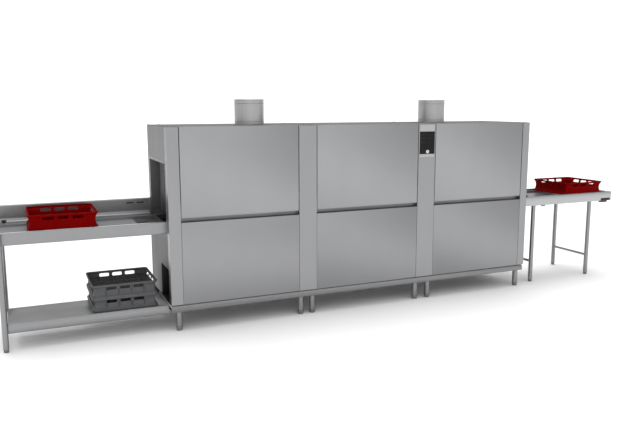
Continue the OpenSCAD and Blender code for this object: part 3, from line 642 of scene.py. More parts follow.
SOFTENED = (
    "door_1", "door_2", "door_3", "lower_panels", "entry_shelf", "base_frame", "control_panel",
)


def ends(node_name):
    """Lowest and highest corner of a node's box."""
    low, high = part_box(node_name)
    return Vector(low), Vector(high)


def solids(node_name):
    """Boxes of the separate solids inside a node, in order along x then y."""
    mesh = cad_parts[node_name].data
    group = {}

    def root(key):
        while group[key] != key:
            group[key] = group[group[key]]
            key = group[key]
        return key

    keys = [tuple(round(c, 5) for c in vert.co) for vert in mesh.vertices]
    for key in keys:
        group.setdefault(key, key)
    for polygon in mesh.polygons:
        first = root(keys[polygon.vertices[0]])
        for index in polygon.vertices[1:]:
            group[root(keys[index])] = first
    boxes = {}
    for key in group:
        box = boxes.setdefault(root(key), [list(key), list(key)])
        for i in range(3):
            box[0][i] = min(box[0][i], key[i])
            box[1][i] = max(box[1][i], key[i])
    return sorted((Vector(low), Vector(high)) for low, high in map(tuple, boxes.values()))


# ---------------------------------------------------------------- operators


class DISHWASHER_OT_finishes(bpy.types.Operator):
    """Gives every part its finish and rounds the folded edges of the doors, panels, shelf, base frame and
    control panel.
    """

    bl_idname = "dishwasher.finishes"
    bl_label = "Finishes"

    def execute(self, context):
        mix_finishes()
        for finish, names in DRESS.items():
            for name in names:
                dress(name, finish)
        for name in SOFTENED:
            soften(name)
        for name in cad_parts:
            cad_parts[name].data.set_sharp_from_angle(angle=math.radians(34))
        return {"FINISHED"}


def rack(name, node_name, body, finish, pegs):
    """An open rack: four slotted walls with rims, a grid floor, and pegs or cell walls."""
    racks = bpy.context.scene.dishwasher_racks
    low, high = ends(node_name)
    wall, corner, lip = racks.wall, racks.corner, 4 * MM
    height = high.z - low.z
    x0, y0, x1, y1 = low.x + lip, low.y + lip, high.x - lip, high.y - lip
    rim_h, foot_h, slot_w, slot_h, pitch = 12 * MM, 10 * MM, 78 * MM, 26 * MM, 104 * MM
    waist = 17 * MM
    steps = 12
    outer = [(lip, 0), (lip, foot_h), (lip * 0.4, foot_h + 1.5 * MM)]
    for i in range(1, steps):
        t = i / steps
        outer.append((-waist * math.sin(math.pi * t) ** 0.7, foot_h + t * (height - rim_h - foot_h)))
    outer += [
        (lip * 0.4, height - rim_h - 1.5 * MM), (lip, height - rim_h), (lip, height - 1 * MM),
        (lip - 1 * MM, height),
    ]
    inner = [(min(u, 0.0) - wall, v) for u, v in outer[::-1]]
    walls = hoop(rounded_rectangle(x0, y0, x1, y1, corner, 6), outer + inner, low.z)
    slot_top, deep = low.z + height - rim_h - 6 * MM, waist + 2 * wall + lip
    cutters = []
    for i in (-1, 0, 1):
        middle_x, middle_y = (x0 + x1) / 2 + i * pitch, (y0 + y1) / 2 + i * pitch
        hole = rounded_rectangle(
            middle_x - slot_w / 2, slot_top - slot_h, middle_x + slot_w / 2, slot_top, 9 * MM,
        )
        cutters += [prism(hole, "y", y0 - lip, y0 + deep), prism(hole, "y", y1 - deep, y1 + lip)]
        hole = rounded_rectangle(
            middle_y - slot_w / 2, slot_top - slot_h, middle_y + slot_w / 2, slot_top, 9 * MM,
        )
        cutters += [prism(hole, "x", x0 - lip, x0 + deep), prism(hole, "x", x1 - deep, x1 + lip)]
    parts = [cut(walls, cutters)]
    count, bar = 15, 1.6 * MM
    step = (x1 - x0 - 2 * wall) / count
    for i in range(1, count):
        x, y = x0 + wall + i * step, y0 + wall + i * step
        parts.append(block((x - bar, y0 + wall, low.z), (x + bar, y1 - wall, low.z + wall), 0.6 * MM, 1))
        parts.append(block((x0 + wall, y - bar, low.z), (x1 - wall, y + bar, low.z + wall), 0.6 * MM, 1))
    if pegs:
        top = racks.peg
        spike = [
            (0, 0), (3.4 * MM, 0), (2.6 * MM, top * 0.6), (1.9 * MM, top - 1 * MM), (0.9 * MM, top),
            (0, top),
        ]
        for i in range(1, count):
            for j in range(2, count - 1, 3):
                parts.append(turned(
                    spike, (x0 + wall + i * step, y0 + wall + j * step, low.z + wall), segments=8
                ))
    else:
        cells, thin, tall = 5, 1.1 * MM, height * 0.62
        cell = (x1 - x0 - 2 * wall) / cells
        for i in range(1, cells):
            x, y = x0 + wall + i * cell, y0 + wall + i * cell
            parts.append(
                block((x - thin, y0 + wall, low.z), (x + thin, y1 - wall, low.z + tall), 0.5 * MM, 1)
            )
            parts.append(
                block((x0 + wall, y - thin, low.z), (x1 - wall, y + thin, low.z + tall), 0.5 * MM, 1)
            )
    return piece(name, parts, FINISH[finish], body, replaces=(node_name,))


class DISHWASHER_OT_racks(bpy.types.Operator):
    """Builds the two red plate racks and the two grey glass racks."""

    bl_idname = "dishwasher.racks"
    bl_label = "Racks"

    def execute(self, context):
        rack("entry_plate_rack", "entry_rack", "entry_rack", "red", True)
        rack("exit_plate_rack", "exit_rack", "exit_rack", "red", True)
        rack("lower_glass_rack", "shelf_rack_lower", "shelf_rack_lower", "grey", False)
        rack("upper_glass_rack", "shelf_rack_upper", "shelf_rack_upper", "grey", False)
        return {"FINISHED"}


def strip(low, high, thickness, bow, seed):
    """One hanging rubber strip with a slight bow and a rounded lower edge."""
    rng = random.Random(seed)
    lean, phase = rng.uniform(-0.5, 0.5), rng.uniform(0, math.tau)
    shape = bmesh.new()
    across, down = 8, 26
    layers = []
    for side in (-0.5, 0.5):
        rows = []
        for j in range(down + 1):
            t = j / down
            row = []
            for i in range(across + 1):
                s = i / across
                lift = 0.0 if j < down else 6 * MM * (2 * s - 1) ** 4
                y = low.y + s * (high.y - low.y)
                z = high.z - t * (high.z - low.z) + lift
                wave = bow * (0.55 * math.sin(math.pi * t * 1.4 + phase) + 0.45 * t * lean)
                cup = bow * 0.5 * (1 - (2 * s - 1) ** 2) * math.sin(math.pi * t)
                x = (low.x + high.x) / 2 + (wave + cup) * t + side * thickness
                row.append(shape.verts.new((x, y, z)))
            rows.append(row)
        layers.append(rows)
    near, far = layers
    for j in range(down):
        for i in range(across):
            shape.faces.new((near[j][i], near[j][i + 1], near[j + 1][i + 1], near[j + 1][i]))
            shape.faces.new((far[j][i], far[j + 1][i], far[j + 1][i + 1], far[j][i + 1]))
    rim = (
        [(0, i) for i in range(across + 1)] + [(j, across) for j in range(1, down + 1)]
        + [(down, i) for i in range(across - 1, -1, -1)] + [(j, 0) for j in range(down - 1, 0, -1)]
    )
    for (ja, ia), (jb, ib) in zip(rim, rim[1:] + rim[:1]):
        shape.faces.new((near[ja][ia], far[ja][ia], far[jb][ib], near[jb][ib]))
    return mesh_of(shape)


class DISHWASHER_OT_curtains(bpy.types.Operator):
    """Hangs the strip curtains inside both mouths."""

    bl_idname = "dishwasher.curtains"
    bl_label = "Curtains"

    def execute(self, context):
        for seed, name in enumerate(("entry_curtain", "exit_curtain")):
            low, high = ends(name)
            middle = (low.x + high.x) / 2
            rod = (high.x - low.x) / 2
            axis_z = high.z - rod
            parts = []
            strips, gap = 5, 3 * MM
            inner_low, inner_high = low.y + 20 * MM, high.y - 20 * MM
            width = (inner_high - inner_low) / strips
            for i in range(strips):
                parts.append(strip(
                    Vector((middle, inner_low + i * width + gap, low.z)),
                    Vector((middle, inner_low + (i + 1) * width - gap, axis_z - rod)),
                    2.4 * MM, 5 * MM, seed * 10 + i,
                ))
                parts.append(block(
                    (middle - 3.4 * MM, inner_low + i * width + gap, axis_z - 26 * MM),
                    (middle + 3.4 * MM, inner_low + (i + 1) * width - gap, axis_z + 1 * MM), 1 * MM,
                ))
            piece(name + "_strips", parts, FINISH["rubber"], name, replaces=(name,))
            bar = turned(
                [(0, 0), (rod, 0), (rod, high.y - low.y), (0, high.y - low.y)],
                (middle, low.y, axis_z), "y", 24,
            )
            piece(name + "_rod", [bar], FINISH["inner"], name)
        return {"FINISHED"}


def screw(x, y, z, axis, radius=3.6 * MM, height=1.8 * MM):
    """A domed screw head with a cross slot, standing out along an axis (+ or -)."""
    dome = [
        (0, -0.5 * MM), (radius, -0.5 * MM), (radius, 0.3 * MM), (radius * 0.75, height * 0.85),
        (0, height),
    ]
    head = turned(dome, (0, 0, 0), segments=14)
    turn = {
        "-y": Matrix.Rotation(math.pi / 2, 4, "X"), "+y": Matrix.Rotation(-math.pi / 2, 4, "X"),
        "-x": Matrix.Rotation(-math.pi / 2, 4, "Y"), "+x": Matrix.Rotation(math.pi / 2, 4, "Y"),
        "+z": Matrix.Identity(4),
    }[axis]
    return moved(head, turn, Matrix.Translation((x, y, z)))


class DISHWASHER_OT_exhausts(bpy.types.Operator):
    """Adds the rim beads, collars, seams and screws of the exhaust spigots."""

    bl_idname = "dishwasher.exhausts"
    bl_label = "Exhausts"

    def execute(self, context):
        for number, (low, high) in enumerate(solids("exhaust_spigots"), 1):
            centre = (low + high) / 2
            flange = (high.y - low.y) / 2
            radius = flange - 8 * MM
            parts = []
            for z, fat in (
                (high.z - 3 * MM, 3 * MM), (high.z - 34 * MM, 1.8 * MM), (low.z + 30 * MM, 1.8 * MM),
            ):
                ring = [
                    (radius + fat * math.cos(a), z + fat * math.sin(a))
                    for a in (math.tau * i / 10 for i in range(11))
                ]
                parts.append(turned(ring, (centre.x, centre.y, 0), segments=72))
            seam = centre.y + radius - 1 * MM
            parts.append(block(
                (centre.x - 9 * MM, seam, low.z + 2 * MM), (
                    centre.x + 9 * MM, seam + 2.2 * MM, high.z - 8 * MM,
                ), 0.8 * MM
            ))
            piece(f"spigot_beads_{number}", parts, FINISH["duct"], "frame")
            collar = [
                (radius - 0.5 * MM, 0), (flange + 9 * MM, 0), (
                    flange + 9 * MM, 2.4 * MM,
                ), (flange + 7 * MM, 3.4 * MM),
                (
                    radius + 3 * MM, 3.4 * MM,
                ), (radius + 1 * MM, 6 * MM), (radius - 0.5 * MM, 6 * MM), (radius - 0.5 * MM, 0),
            ]
            around = [turned(collar, (centre.x, centre.y, low.z), segments=72)]
            for i in range(10):
                angle = math.tau * (i + 0.5) / 10
                reach = flange + 2 * MM
                around.append(screw(
                    centre.x + reach * math.cos(angle),
                    centre.y + reach * math.sin(angle),
                    low.z + 3.4 * MM,
                    "+z",
                ))
            piece(f"spigot_collar_{number}", around, FINISH["rail"], "frame")
        return {"FINISHED"}


class DISHWASHER_OT_controls(bpy.types.Operator):
    """Adds the control panel's frame, label plate, button ring and display marks."""

    bl_idname = "dishwasher.controls"
    bl_label = "Controls"

    def execute(self, context):
        low, high = ends("control_panel")
        glass_low, glass_high = ends("display_glass")
        face = low.y
        upright = Matrix(((1, 0, 0), (0, 0, -1), (0, 1, 0))).to_4x4()

        def flat(outline, holes, proud, z=0.0):
            return moved(
                plate(outline, holes, proud, 0.2 * MM), upright, Matrix.Translation((0, face - z, 0)),
            )

        rim = 2.2 * MM
        frame_outline = rounded_rectangle(glass_low.x, glass_low.z, glass_high.x, glass_high.z, 4 * MM)
        frame_hole = rounded_rectangle(
            glass_low.x + rim, glass_low.z + rim, glass_high.x - rim, glass_high.z - rim, 3 * MM
        )
        piece(
            "display_frame", [flat(frame_outline, [frame_hole], 1.4 * MM)], FINISH["black"], "frame",
        )
        label = rounded_rectangle(
            low.x + 3 * MM, glass_high.z + 2 * MM, high.x - 3 * MM, high.z - 2 * MM, 3 * MM,
        )
        keys = rounded_rectangle(
            low.x + 3 * MM, low.z + 2 * MM, high.x - 3 * MM, glass_low.z - 2 * MM, 3 * MM,
        )
        button_low, button_high = ends("start_button")
        centre = (button_low + button_high) / 2
        radius = (button_high.x - button_low.x) / 2
        piece(
            "label_plates", [flat(label, [], 1 * MM), flat(keys, [], 1 * MM)],
            FINISH["label"], "frame",
        )
        ring = [
            (radius + 0.6 * MM, 0), (radius + 4 * MM, 0), (
                radius + 3.4 * MM, 1.6 * MM,
            ), (radius + 1.6 * MM, 2 * MM),
            (radius + 0.6 * MM, 1.2 * MM), (radius + 0.6 * MM, 0),
        ]
        ring_mesh = moved(
            turned(ring, (0, 0, 0), segments=40), Matrix.Rotation(math.pi / 2, 4, "X"),
            Matrix.Translation((centre.x, face, centre.z)),
        )
        piece("button_ring", [ring_mesh], FINISH["button"], "frame")
        arc = [
            (centre.x + 4.6 * MM * math.sin(a), centre.z + 4.6 * MM * math.cos(a))
            for a in (math.radians(35 + 290 * i / 20) for i in range(21))
        ]
        mark = [
            pipe([(x, button_low.y, z) for x, z in arc], 0.45 * MM, sides=6),
            pipe(
                [
                    (centre.x, button_low.y, centre.z + 1.5 * MM),
                    (centre.x, button_low.y, centre.z + 6 * MM),
                ],
                0.45 * MM, sides=6,
            ),
        ]
        piece("button_mark", mark, FINISH["black"], "start_button")
        lit, left = [], glass_low.x + 16 * MM
        for row, digits in enumerate(((1, 0, 1), (1, 1, 0), (0, 1, 1))):
            z = glass_high.z - 34 * MM - row * 34 * MM
            for place, flag in enumerate(digits):
                x = left + place * 13 * MM + (6 * MM if place == 2 else 0)
                strokes = [(0, 0, 7, 0), (7, 0, 7, 7), (7, 7, 7, 14), (0, 14, 7, 14)]
                strokes += [(0, 7, 7, 7)] if flag else [(0, 7, 0, 14)]
                for xa, za, xb, zb in strokes:
                    lit.append(block(
                        (x + min(xa, xb) * MM - 0.5 * MM, face - 0.25 * MM, z + min(za, zb) * MM - 0.5 * MM),
                        (
                            x + max(xa, xb) * MM + 0.5 * MM, face + 0.2 * MM,
                            z + max(za, zb) * MM + 0.5 * MM,
                        ), 0.1 * MM, 1,
                    ))
            for place in range(5):
                x = glass_high.x - 62 * MM + place * 10 * MM
                lit.append(
                    block(
                        (x, face - 0.25 * MM, z + 3 * MM), (x + 6 * MM, face + 0.2 * MM, z + 5 * MM),
                        0.1 * MM, 1,
                    )
                )
        for place in range(4):
            x = left + place * 34 * MM
            outline = rounded_rectangle(x, glass_low.z + 16 * MM, x + 24 * MM, glass_low.z + 34 * MM, 3 * MM)
            hole = rounded_rectangle(
                x + 0.7 * MM, glass_low.z + 16.7 * MM, x + 23.3 * MM, glass_low.z + 33.3 * MM, 2.5 * MM,
            )
            lit.append(flat(outline, [hole], 0.5 * MM))
        piece("display_marks", lit, FINISH["lamp"], "frame")
        return {"FINISHED"}


def cap(low, high, crown, axis="x"):
    """A rounded cap laid along the top of a rim between two corners of a box."""
    across = (low.y, high.y) if axis == "x" else (low.x, high.x)
    half = (across[1] - across[0]) / 2
    middle = (across[0] + across[1]) / 2
    arc = [
        (middle + half * math.cos(a), high.z - crown + crown * math.sin(a) ** 0.8)
        for a in (math.pi * i / 10 for i in range(11))
    ]
    outline = [(across[1], low.z)] + arc + [(across[0], low.z)]
    if axis == "x":
        return prism(outline, "x", low.x, high.x)
    return prism(outline, "y", low.y, high.y)


class DISHWASHER_OT_tables(bpy.types.Operator):
    """Adds the rolled rims, coves, strainer, chute and fittings of both tables. The strainer is drawn dark
    and the chute is a dark strip, both painted shade at the mouth.
    """

    bl_idname = "dishwasher.tables"
    bl_label = "Tables"

    def execute(self, context):
        low = ends("entry_table_top")[0]
        high = ends("entry_splashback")[1]
        rack_low = ends("entry_rack")[0]
        rim, side = 20 * MM, 1.5 * MM
        rim_top = rack_low.z + 10 * MM
        floor = rack_low.z - 18 * MM
        rims = [
            cap(
                Vector((low.x - side, low.y - side, rim_top - 9 * MM)),
                Vector((high.x - 1 * MM, low.y + rim + side, rim_top + 4 * MM)), 9 * MM,
            ),
            cap(
                Vector((low.x - side, high.y - rim - side, high.z - 9 * MM)),
                Vector((high.x - 1 * MM, high.y + side, high.z + 3 * MM)), 9 * MM,
            ),
            cap(
                Vector((low.x - 3 * MM, low.y - side, rim_top - 7 * MM)),
                Vector((low.x + 5 * MM, high.y, rim_top + 2 * MM)), 5 * MM, "y",
            ),
        ]
        for y in (low.y - side, high.y - 2 * side):
            rims.append(block((low.x, y, low.z), (high.x - 1 * MM, y + 2 * side, low.z + 5 * MM), 1.4 * MM))
        piece("entry_rims", rims, FINISH["rim"], "frame")
        back, reach = high.y - rim, 34 * MM
        cove = [(back + 0.5 * MM, floor - 0.5 * MM), (back + 0.5 * MM, floor + reach)] + [
            (back - reach * (1 - math.cos(a)), floor + reach * (1 - math.sin(a)))
            for a in (math.pi / 2 * i / 8 for i in range(1, 8))
        ] + [(back - reach, floor - 0.5 * MM)]
        piece(
            "entry_cove", [prism(cove, "x", low.x + 2 * MM, high.x - 2 * MM)], FINISH["post"], "frame",
        )
        drain = Vector((low.x + 83 * MM, low.y + 542 * MM, floor))
        ring = [(22 * MM, 0), (38 * MM, 0), (37 * MM, 1.6 * MM), (24 * MM, 2.2 * MM), (22 * MM, 0)]
        piece(
            "entry_drain_ring", [turned(ring, drain, segments=48)], FINISH["button"], "frame",
        )
        stem = [(0, -6 * MM), (5 * MM, -6 * MM), (5 * MM, 22 * MM), (0, 22 * MM)]
        knob = [
            (0, 20 * MM), (12 * MM, 20 * MM), (19 * MM, 27 * MM), (20 * MM, 34 * MM),
            (15 * MM, 41 * MM), (0, 43 * MM),
        ]
        piece(
            "entry_plug_knob", [turned(knob, drain, segments=32)], FINISH["black"], "frame",
        )
        piece("entry_plug_stem", [turned(stem, drain, segments=20)], FINISH["button"], "frame")
        # Scrap screen: a real perforated strainer, drawn in dark steel as painted shade, for the dark
        # reflection of the mouth in the table floor
        screen_low = Vector((high.x - 196 * MM, low.y + 128 * MM))
        screen_high = Vector((high.x - 14 * MM, low.y + 480 * MM))
        outline = rounded_rectangle(screen_low.x, screen_low.y, screen_high.x, screen_high.y, 8 * MM)
        holes = [
            [
                (x + 4 * MM * math.cos(a), y + 4 * MM * math.sin(a))
                for a in (math.tau * k / 8 for k in range(8))
            ]
            for x in (screen_low.x + 14 * MM + i * 12.8 * MM for i in range(13))
            for y in (screen_low.y + 14 * MM + j * 12.9 * MM for j in range(26))
        ]
        screen = moved(plate(outline, holes, 2 * MM, 0.3 * MM), Matrix.Translation((0, 0, floor + 1.4 * MM)))
        piece("entry_scrap_screen", [screen], FINISH["dark"], "frame")
        # Painted shade: a black sheet under the screen makes it read dark
        outline = rounded_rectangle(
            screen_low.x + 6 * MM,
            screen_low.y + 6 * MM,
            screen_high.x - 6 * MM,
            screen_high.y - 6 * MM,
            6 * MM,
        )
        shade_sheet = moved(plate(outline, [], 0.4 * MM), Matrix.Translation((0, 0, floor + 0.3 * MM)))
        piece("entry_screen_shade_sheet", [shade_sheet], FINISH["black"], "frame")
        # Painted shadow: a dark rubber strip curving across the foot of the mouth, for the curved shadow
        # where the table floor meets the mouth
        first, last = low.y + rim + 2 * MM, back - 1 * MM
        crest = []
        for i in range(41):
            t = i / 40
            lift = 14 * MM * max(0.0, 1 - t / 0.07) ** 2 + 26 * MM * max(0.0, (t - 0.72) / 0.28) ** 2
            crest.append((first + (last - first) * t, floor + 15 * MM + lift))
        base = [(y, max(z - 15 * MM, floor + 0.5 * MM)) for y, z in crest[::-1]]
        lip = prism(crest + base, "x", high.x - 8 * MM, high.x - 1 * MM)
        piece("entry_mouth_shadow_strip", [lip], FINISH["rubber"], "frame")
        # The overflow slots are black patches on the splashback face: painted shade inside the openings
        slots = []
        for x in (high.x - 205 * MM, high.x - 118 * MM):
            outline = rounded_rectangle(x, high.z - 40 * MM, x + 62 * MM, high.z - 29 * MM, 5 * MM)
            slots.append(prism(outline, "y", back - 0.8 * MM, back + 0.5 * MM))
        piece("entry_overflow_slots", slots, FINISH["black"], "frame")
        low, high = ends("exit_table_top")
        bottom = rim_top - 91 * MM
        nose = [(low.y + 0.5 * MM, bottom)] + [
            (
                low.y - 9 * MM * math.sin(a) ** 0.7,
                (bottom + rim_top) / 2 - (rim_top - bottom) / 2 * math.cos(a),
            )
            for a in (math.pi * i / 14 for i in range(1, 14))
        ] + [(low.y + 0.5 * MM, rim_top)]
        rims = [
            prism(nose, "x", low.x + 2 * MM, high.x - 1 * MM),
            cap(
                Vector((low.x + 2 * MM, low.y - side, rim_top - 9 * MM)),
                Vector((high.x + side, low.y + rim + side, rim_top + 4 * MM)), 9 * MM,
            ),
            cap(
                Vector((low.x + 2 * MM, high.y - rim - side, rim_top - 9 * MM)),
                Vector((high.x + side, high.y + side, rim_top + 4 * MM)), 9 * MM,
            ),
            cap(
                Vector((high.x - rim - side, low.y, rim_top - 9 * MM)),
                Vector((high.x + side, high.y, rim_top + 4 * MM)), 9 * MM, "y",
            ),
        ]
        # The exit rims take the lighter copy of the rim steel, a painted highlight
        piece("exit_rims", rims, FINISH["bright"], "frame")
        ends_cap = block(
            (high.x - 1.5 * MM, low.y - 9 * MM, bottom),
            (high.x + 4 * MM, low.y + rim, rim_top + 3 * MM), 2.5 * MM,
        )
        piece("exit_rail_cap", [ends_cap], FINISH["label"], "frame")
        roller = turned(
            [(0, 0), (11 * MM, 0), (12 * MM, 1.5 * MM), (12 * MM, 70 * MM), (11 * MM, 72 * MM), (0, 72 * MM)],
            (low.x + 12 * MM, low.y + rim / 2, rim_top + 14 * MM), segments=32,
        )
        roller.transform(Matrix.Translation((low.x + 12 * MM, low.y + rim / 2, rim_top + 16 * MM))
                         @ Matrix.Rotation(math.pi / 2, 4, "Y")
                         @ Matrix.Translation((-low.x - 12 * MM, -low.y - rim / 2, -rim_top - 14 * MM)))
        holders = [
            block(
                (low.x + x * MM, low.y + 2 * MM, rim_top),
                (low.x + (x + 5) * MM, low.y + rim - 2 * MM, rim_top + 18 * MM), 1 * MM,
            )
            for x in (6, 86)
        ]
        piece("exit_guide_roller", [roller], FINISH["black"], "frame")
        piece("exit_roller_holder", holders, FINISH["black"], "frame")
        # A black strip on the lower right of the exit rail's front face, where the rail shows a dark patch
        dark_strip = block(
            (
                high.x - 138 * MM, low.y - 9.5 * MM, bottom + 2 * MM,
            ), (high.x - 12 * MM, low.y - 1 * MM, bottom + 30 * MM), 3 * MM
        )
        piece("exit_rail_dark_strip", [dark_strip], FINISH["black"], "frame")
        shelf_low, shelf_high = ends("entry_shelf")
        hems = [
            block(
                (shelf_low.x + 22 * MM, shelf_low.y - 1 * MM, shelf_low.z),
                (shelf_high.x, shelf_low.y + 3 * MM, shelf_low.z + 7 * MM), 1.5 * MM,
            ),
            cap(
                Vector((shelf_low.x + 22 * MM, shelf_low.y - 1.2 * MM, shelf_high.z - 5 * MM)),
                Vector((shelf_high.x, shelf_low.y + 4 * MM, shelf_high.z + 1 * MM)), 3 * MM,
            ),
            cap(
                Vector((shelf_low.x + 22 * MM, shelf_high.y - 4 * MM, shelf_high.z - 5 * MM)),
                Vector((shelf_high.x, shelf_high.y + 1.2 * MM, shelf_high.z + 1 * MM)), 3 * MM,
            ),
        ]
        front = [
            (shelf_low.y + 0.5 * MM - 10 * MM * math.sin(a), (shelf_low.z + shelf_high.z) / 2
             - (shelf_high.z - shelf_low.z) / 2 * math.cos(a))
            for a in (math.pi * i / 16 for i in range(17))
        ]
        hems.append(prism(front, "x", shelf_low.x + 22 * MM, shelf_high.x))
        piece("shelf_hems", hems, FINISH["rim"], "frame")
        switch = solids("limit_switch")
        body_low, body_high = max(switch, key=lambda box: box[1].x - box[0].x)
        lid = [
            screw(x, body_low.y, z, "-y", 2.6 * MM, 1.2 * MM)
            for x in (
                body_low.x + 8 * MM, body_high.x - 8 * MM,
            ) for z in (body_low.z + 6 * MM, body_low.z + 20 * MM)
        ]
        piece("switch_screws", lid, FINISH["button"], "frame")
        return {"FINISHED"}


class DISHWASHER_OT_casing(bpy.types.Operator):
    """Adds the mouth lips, door hems, roof seams, rear panels, screws and leg collars."""

    bl_idname = "dishwasher.casing"
    bl_label = "Casing"

    def execute(self, context):
        low, high = ends("roof_and_rear_panels")
        curtain_high = ends("entry_curtain")[1]
        table_high = ends("entry_table_top")[1]
        mouth = (low.y + 70 * MM, low.y + 727 * MM, table_high.z - 139 * MM, curtain_high.z - 27 * MM)
        for name, x, way in (("entry", low.x, -1), ("exit", high.x, 1)):
            out, inward = x + way * 7 * MM, x - way * 14 * MM
            near, far = min(out, inward), max(out, inward)
            lips = [
                block((near, mouth[0], mouth[3] - 2 * MM), (far, mouth[1], mouth[3] + 1.5 * MM), 1.2 * MM),
                block(
                    (min(x, x + way * 2 * MM), mouth[0], mouth[3]),
                    (max(x, x + way * 2 * MM), mouth[1], mouth[3] + 14 * MM), 0.8 * MM,
                ),
            ]
            piece(name + "_hood_lip", lips, FINISH["post"], "frame")
            frames = [
                block(
                    (min(x, x + way * 1.6 * MM), y, mouth[2] + 32 * MM),
                    (max(x, x + way * 1.6 * MM), y + 11 * MM, mouth[3]), 0.6 * MM,
                )
                for y in (mouth[0] + 0.5 * MM, mouth[1] - 11 * MM)
            ]
            piece(name + "_mouth_hems", frames, FINISH["post"], "frame")
        for k in range(1, DOORS + 1):
            door_low, door_high = ends(f"door_{k}")
            left, right = door_low.x + 42 * MM, door_high.x - 42 * MM
            hem = [
                block(
                    (left, door_low.y - 0.8 * MM, door_low.z - 0.4 * MM),
                    (right, door_low.y + 5 * MM, door_low.z + 2.6 * MM), 1.1 * MM,
                ),
                block(
                    (left + 6 * MM, door_high.y - 4 * MM, door_low.z - 5 * MM),
                    (right - 6 * MM, door_high.y - 1 * MM, door_low.z + 1 * MM), 1 * MM,
                ),
            ]
            piece(f"door_hem_{k}", hem, FINISH["panel"], f"door_{k}")
            seal = [
                block(
                    (left + 4 * MM, door_high.y - 0.4 * MM, z),
                    (right - 4 * MM, door_high.y + 2.2 * MM, z + 9 * MM), 1.2 * MM,
                )
                for z in (door_low.z + 22 * MM, door_high.z - 110 * MM)
            ]
            piece(f"door_seals_{k}", seal, FINISH["seal"], f"door_{k}")
            lift_ropes(k)
        entry_low, entry_high = ends("entry_end_panel")
        hatch = (entry_low.y, entry_low.z + 6 * MM, entry_low.y + 290 * MM, entry_low.z + 273 * MM)
        edge = 1.5 * MM
        trim = [
            block(
                (entry_low.x - edge, hatch[0], hatch[1]), (entry_high.x, hatch[2], hatch[1] + edge),
                0.6 * MM,
            ),
            block(
                (entry_low.x - edge, hatch[0], hatch[3] - edge), (entry_high.x, hatch[2], hatch[3]),
                0.6 * MM,
            ),
            block(
                (entry_low.x - edge, hatch[0], hatch[1]), (entry_high.x, hatch[0] + edge, hatch[3]),
                0.6 * MM,
            ),
            block(
                (entry_low.x - edge, hatch[2] - edge, hatch[1]), (entry_high.x, hatch[2], hatch[3]),
                0.6 * MM,
            ),
        ]
        piece("hatch_trim", trim, FINISH["black"], "frame")
        rail_low = ends("base_frame")[0]
        shelf_high = ends("entry_shelf")[1]
        # A thin pale strip along the shelf's edge against the end panel, for a bright line seen there
        strip_low = (entry_low.x - 5.5 * MM, low.y + 2 * MM, shelf_high.z + 0.5 * MM)
        strip_high = (entry_low.x - 0.3 * MM, shelf_high.y, shelf_high.z + 7 * MM)
        strip_mesh = block(strip_low, strip_high, 1.5 * MM)
        piece("shelf_pale_strip", [strip_mesh], FINISH["silicone"], "frame")
        tray_low = Vector((rail_low.x + 4 * MM, low.y + 24 * MM, rail_low.z - 3 * MM))
        tray_high = Vector((rail_low.x + 330 * MM, high.y - 40 * MM, rail_low.z - 1 * MM))
        tray = [block(tray_low, tray_high, 0.6 * MM)]
        piece("pipe_drip_tray", tray, FINISH["dark"], "frame")
        panels = solids("lower_panels")
        seams = []
        for box_low, box_high in panels:
            x = box_low.x - 3 * MM
            seams.append(
                block(
                    (x - 12 * MM, low.y + 30 * MM, high.z - 1 * MM),
                    (x + 12 * MM, high.y - 30 * MM, high.z + 2.5 * MM), 1.2 * MM,
                )
            )
            for i in range(7):
                y = low.y + 60 * MM + i * (high.y - low.y - 120 * MM) / 6
                seams.append(screw(x, y, high.z + 2.5 * MM, "+z"))
        for x in (low.x + 4 * MM, high.x - 16 * MM):
            seams.append(
                block(
                    (x, low.y + 30 * MM, high.z - 1 * MM),
                    (x + 12 * MM, high.y - 4 * MM, high.z + 2 * MM), 1 * MM,
                )
            )
        piece("roof_seams", seams, FINISH["roof_trim"], "frame")
        plates, heads, louvres = [], [], []
        for box_low, box_high in panels:
            for z0, z1 in ((low.z + 30 * MM, low.z + 620 * MM), (low.z + 650 * MM, high.z - 40 * MM)):
                plates.append(
                    block(
                        (box_low.x + 12 * MM, high.y - 1 * MM, z0),
                        (box_high.x - 12 * MM, high.y + 1.6 * MM, z1), 1.1 * MM,
                    )
                )
                for i in range(6):
                    x = box_low.x + 30 * MM + i * (box_high.x - box_low.x - 60 * MM) / 5
                    heads += [screw(x, high.y + 1.6 * MM, z, "+y") for z in (z0 + 14 * MM, z1 - 14 * MM)]
            for i in range(9):
                z = low.z + 90 * MM + i * 22 * MM
                for x in (box_low.x + 150 * MM, box_high.x - 370 * MM):
                    hood = [
                        (high.y + 1.2 * MM, z), (high.y + 9 * MM, z), (high.y + 8 * MM, z + 4 * MM), (
                            high.y + 1.2 * MM, z + 13 * MM,
                        ),
                    ]
                    louvres.append(prism(hood, "x", x, x + 220 * MM))
        piece("rear_panels", plates, FINISH["rail"], "frame")
        piece("rear_screws", heads, FINISH["button"], "frame")
        piece("rear_louvres", louvres, FINISH["rail"], "frame")
        collars = []
        for leg_low, leg_high in solids("machine_legs"):
            middle = (leg_low + leg_high) / 2
            radius = (leg_high.x - leg_low.x) / 2
            ring = [
                (radius - 0.5 * MM, 0), (radius + 2.2 * MM, 1 * MM), (radius + 2.2 * MM, 9 * MM),
                (radius - 0.5 * MM, 10 * MM), (radius - 0.5 * MM, 0),
            ]
            collars.append(turned(ring, (middle.x, middle.y, leg_low.z + 3 * MM), segments=32))
            collars.append(turned(ring, (middle.x, middle.y, leg_high.z - 10 * MM), segments=32))
        piece("leg_collars", collars, FINISH["inner"], "frame")
        return {"FINISHED"}


# A rope run is drawn in many short steps
ROPE_RUN_STEPS = 40
ROPE_ARC_STEPS = 16


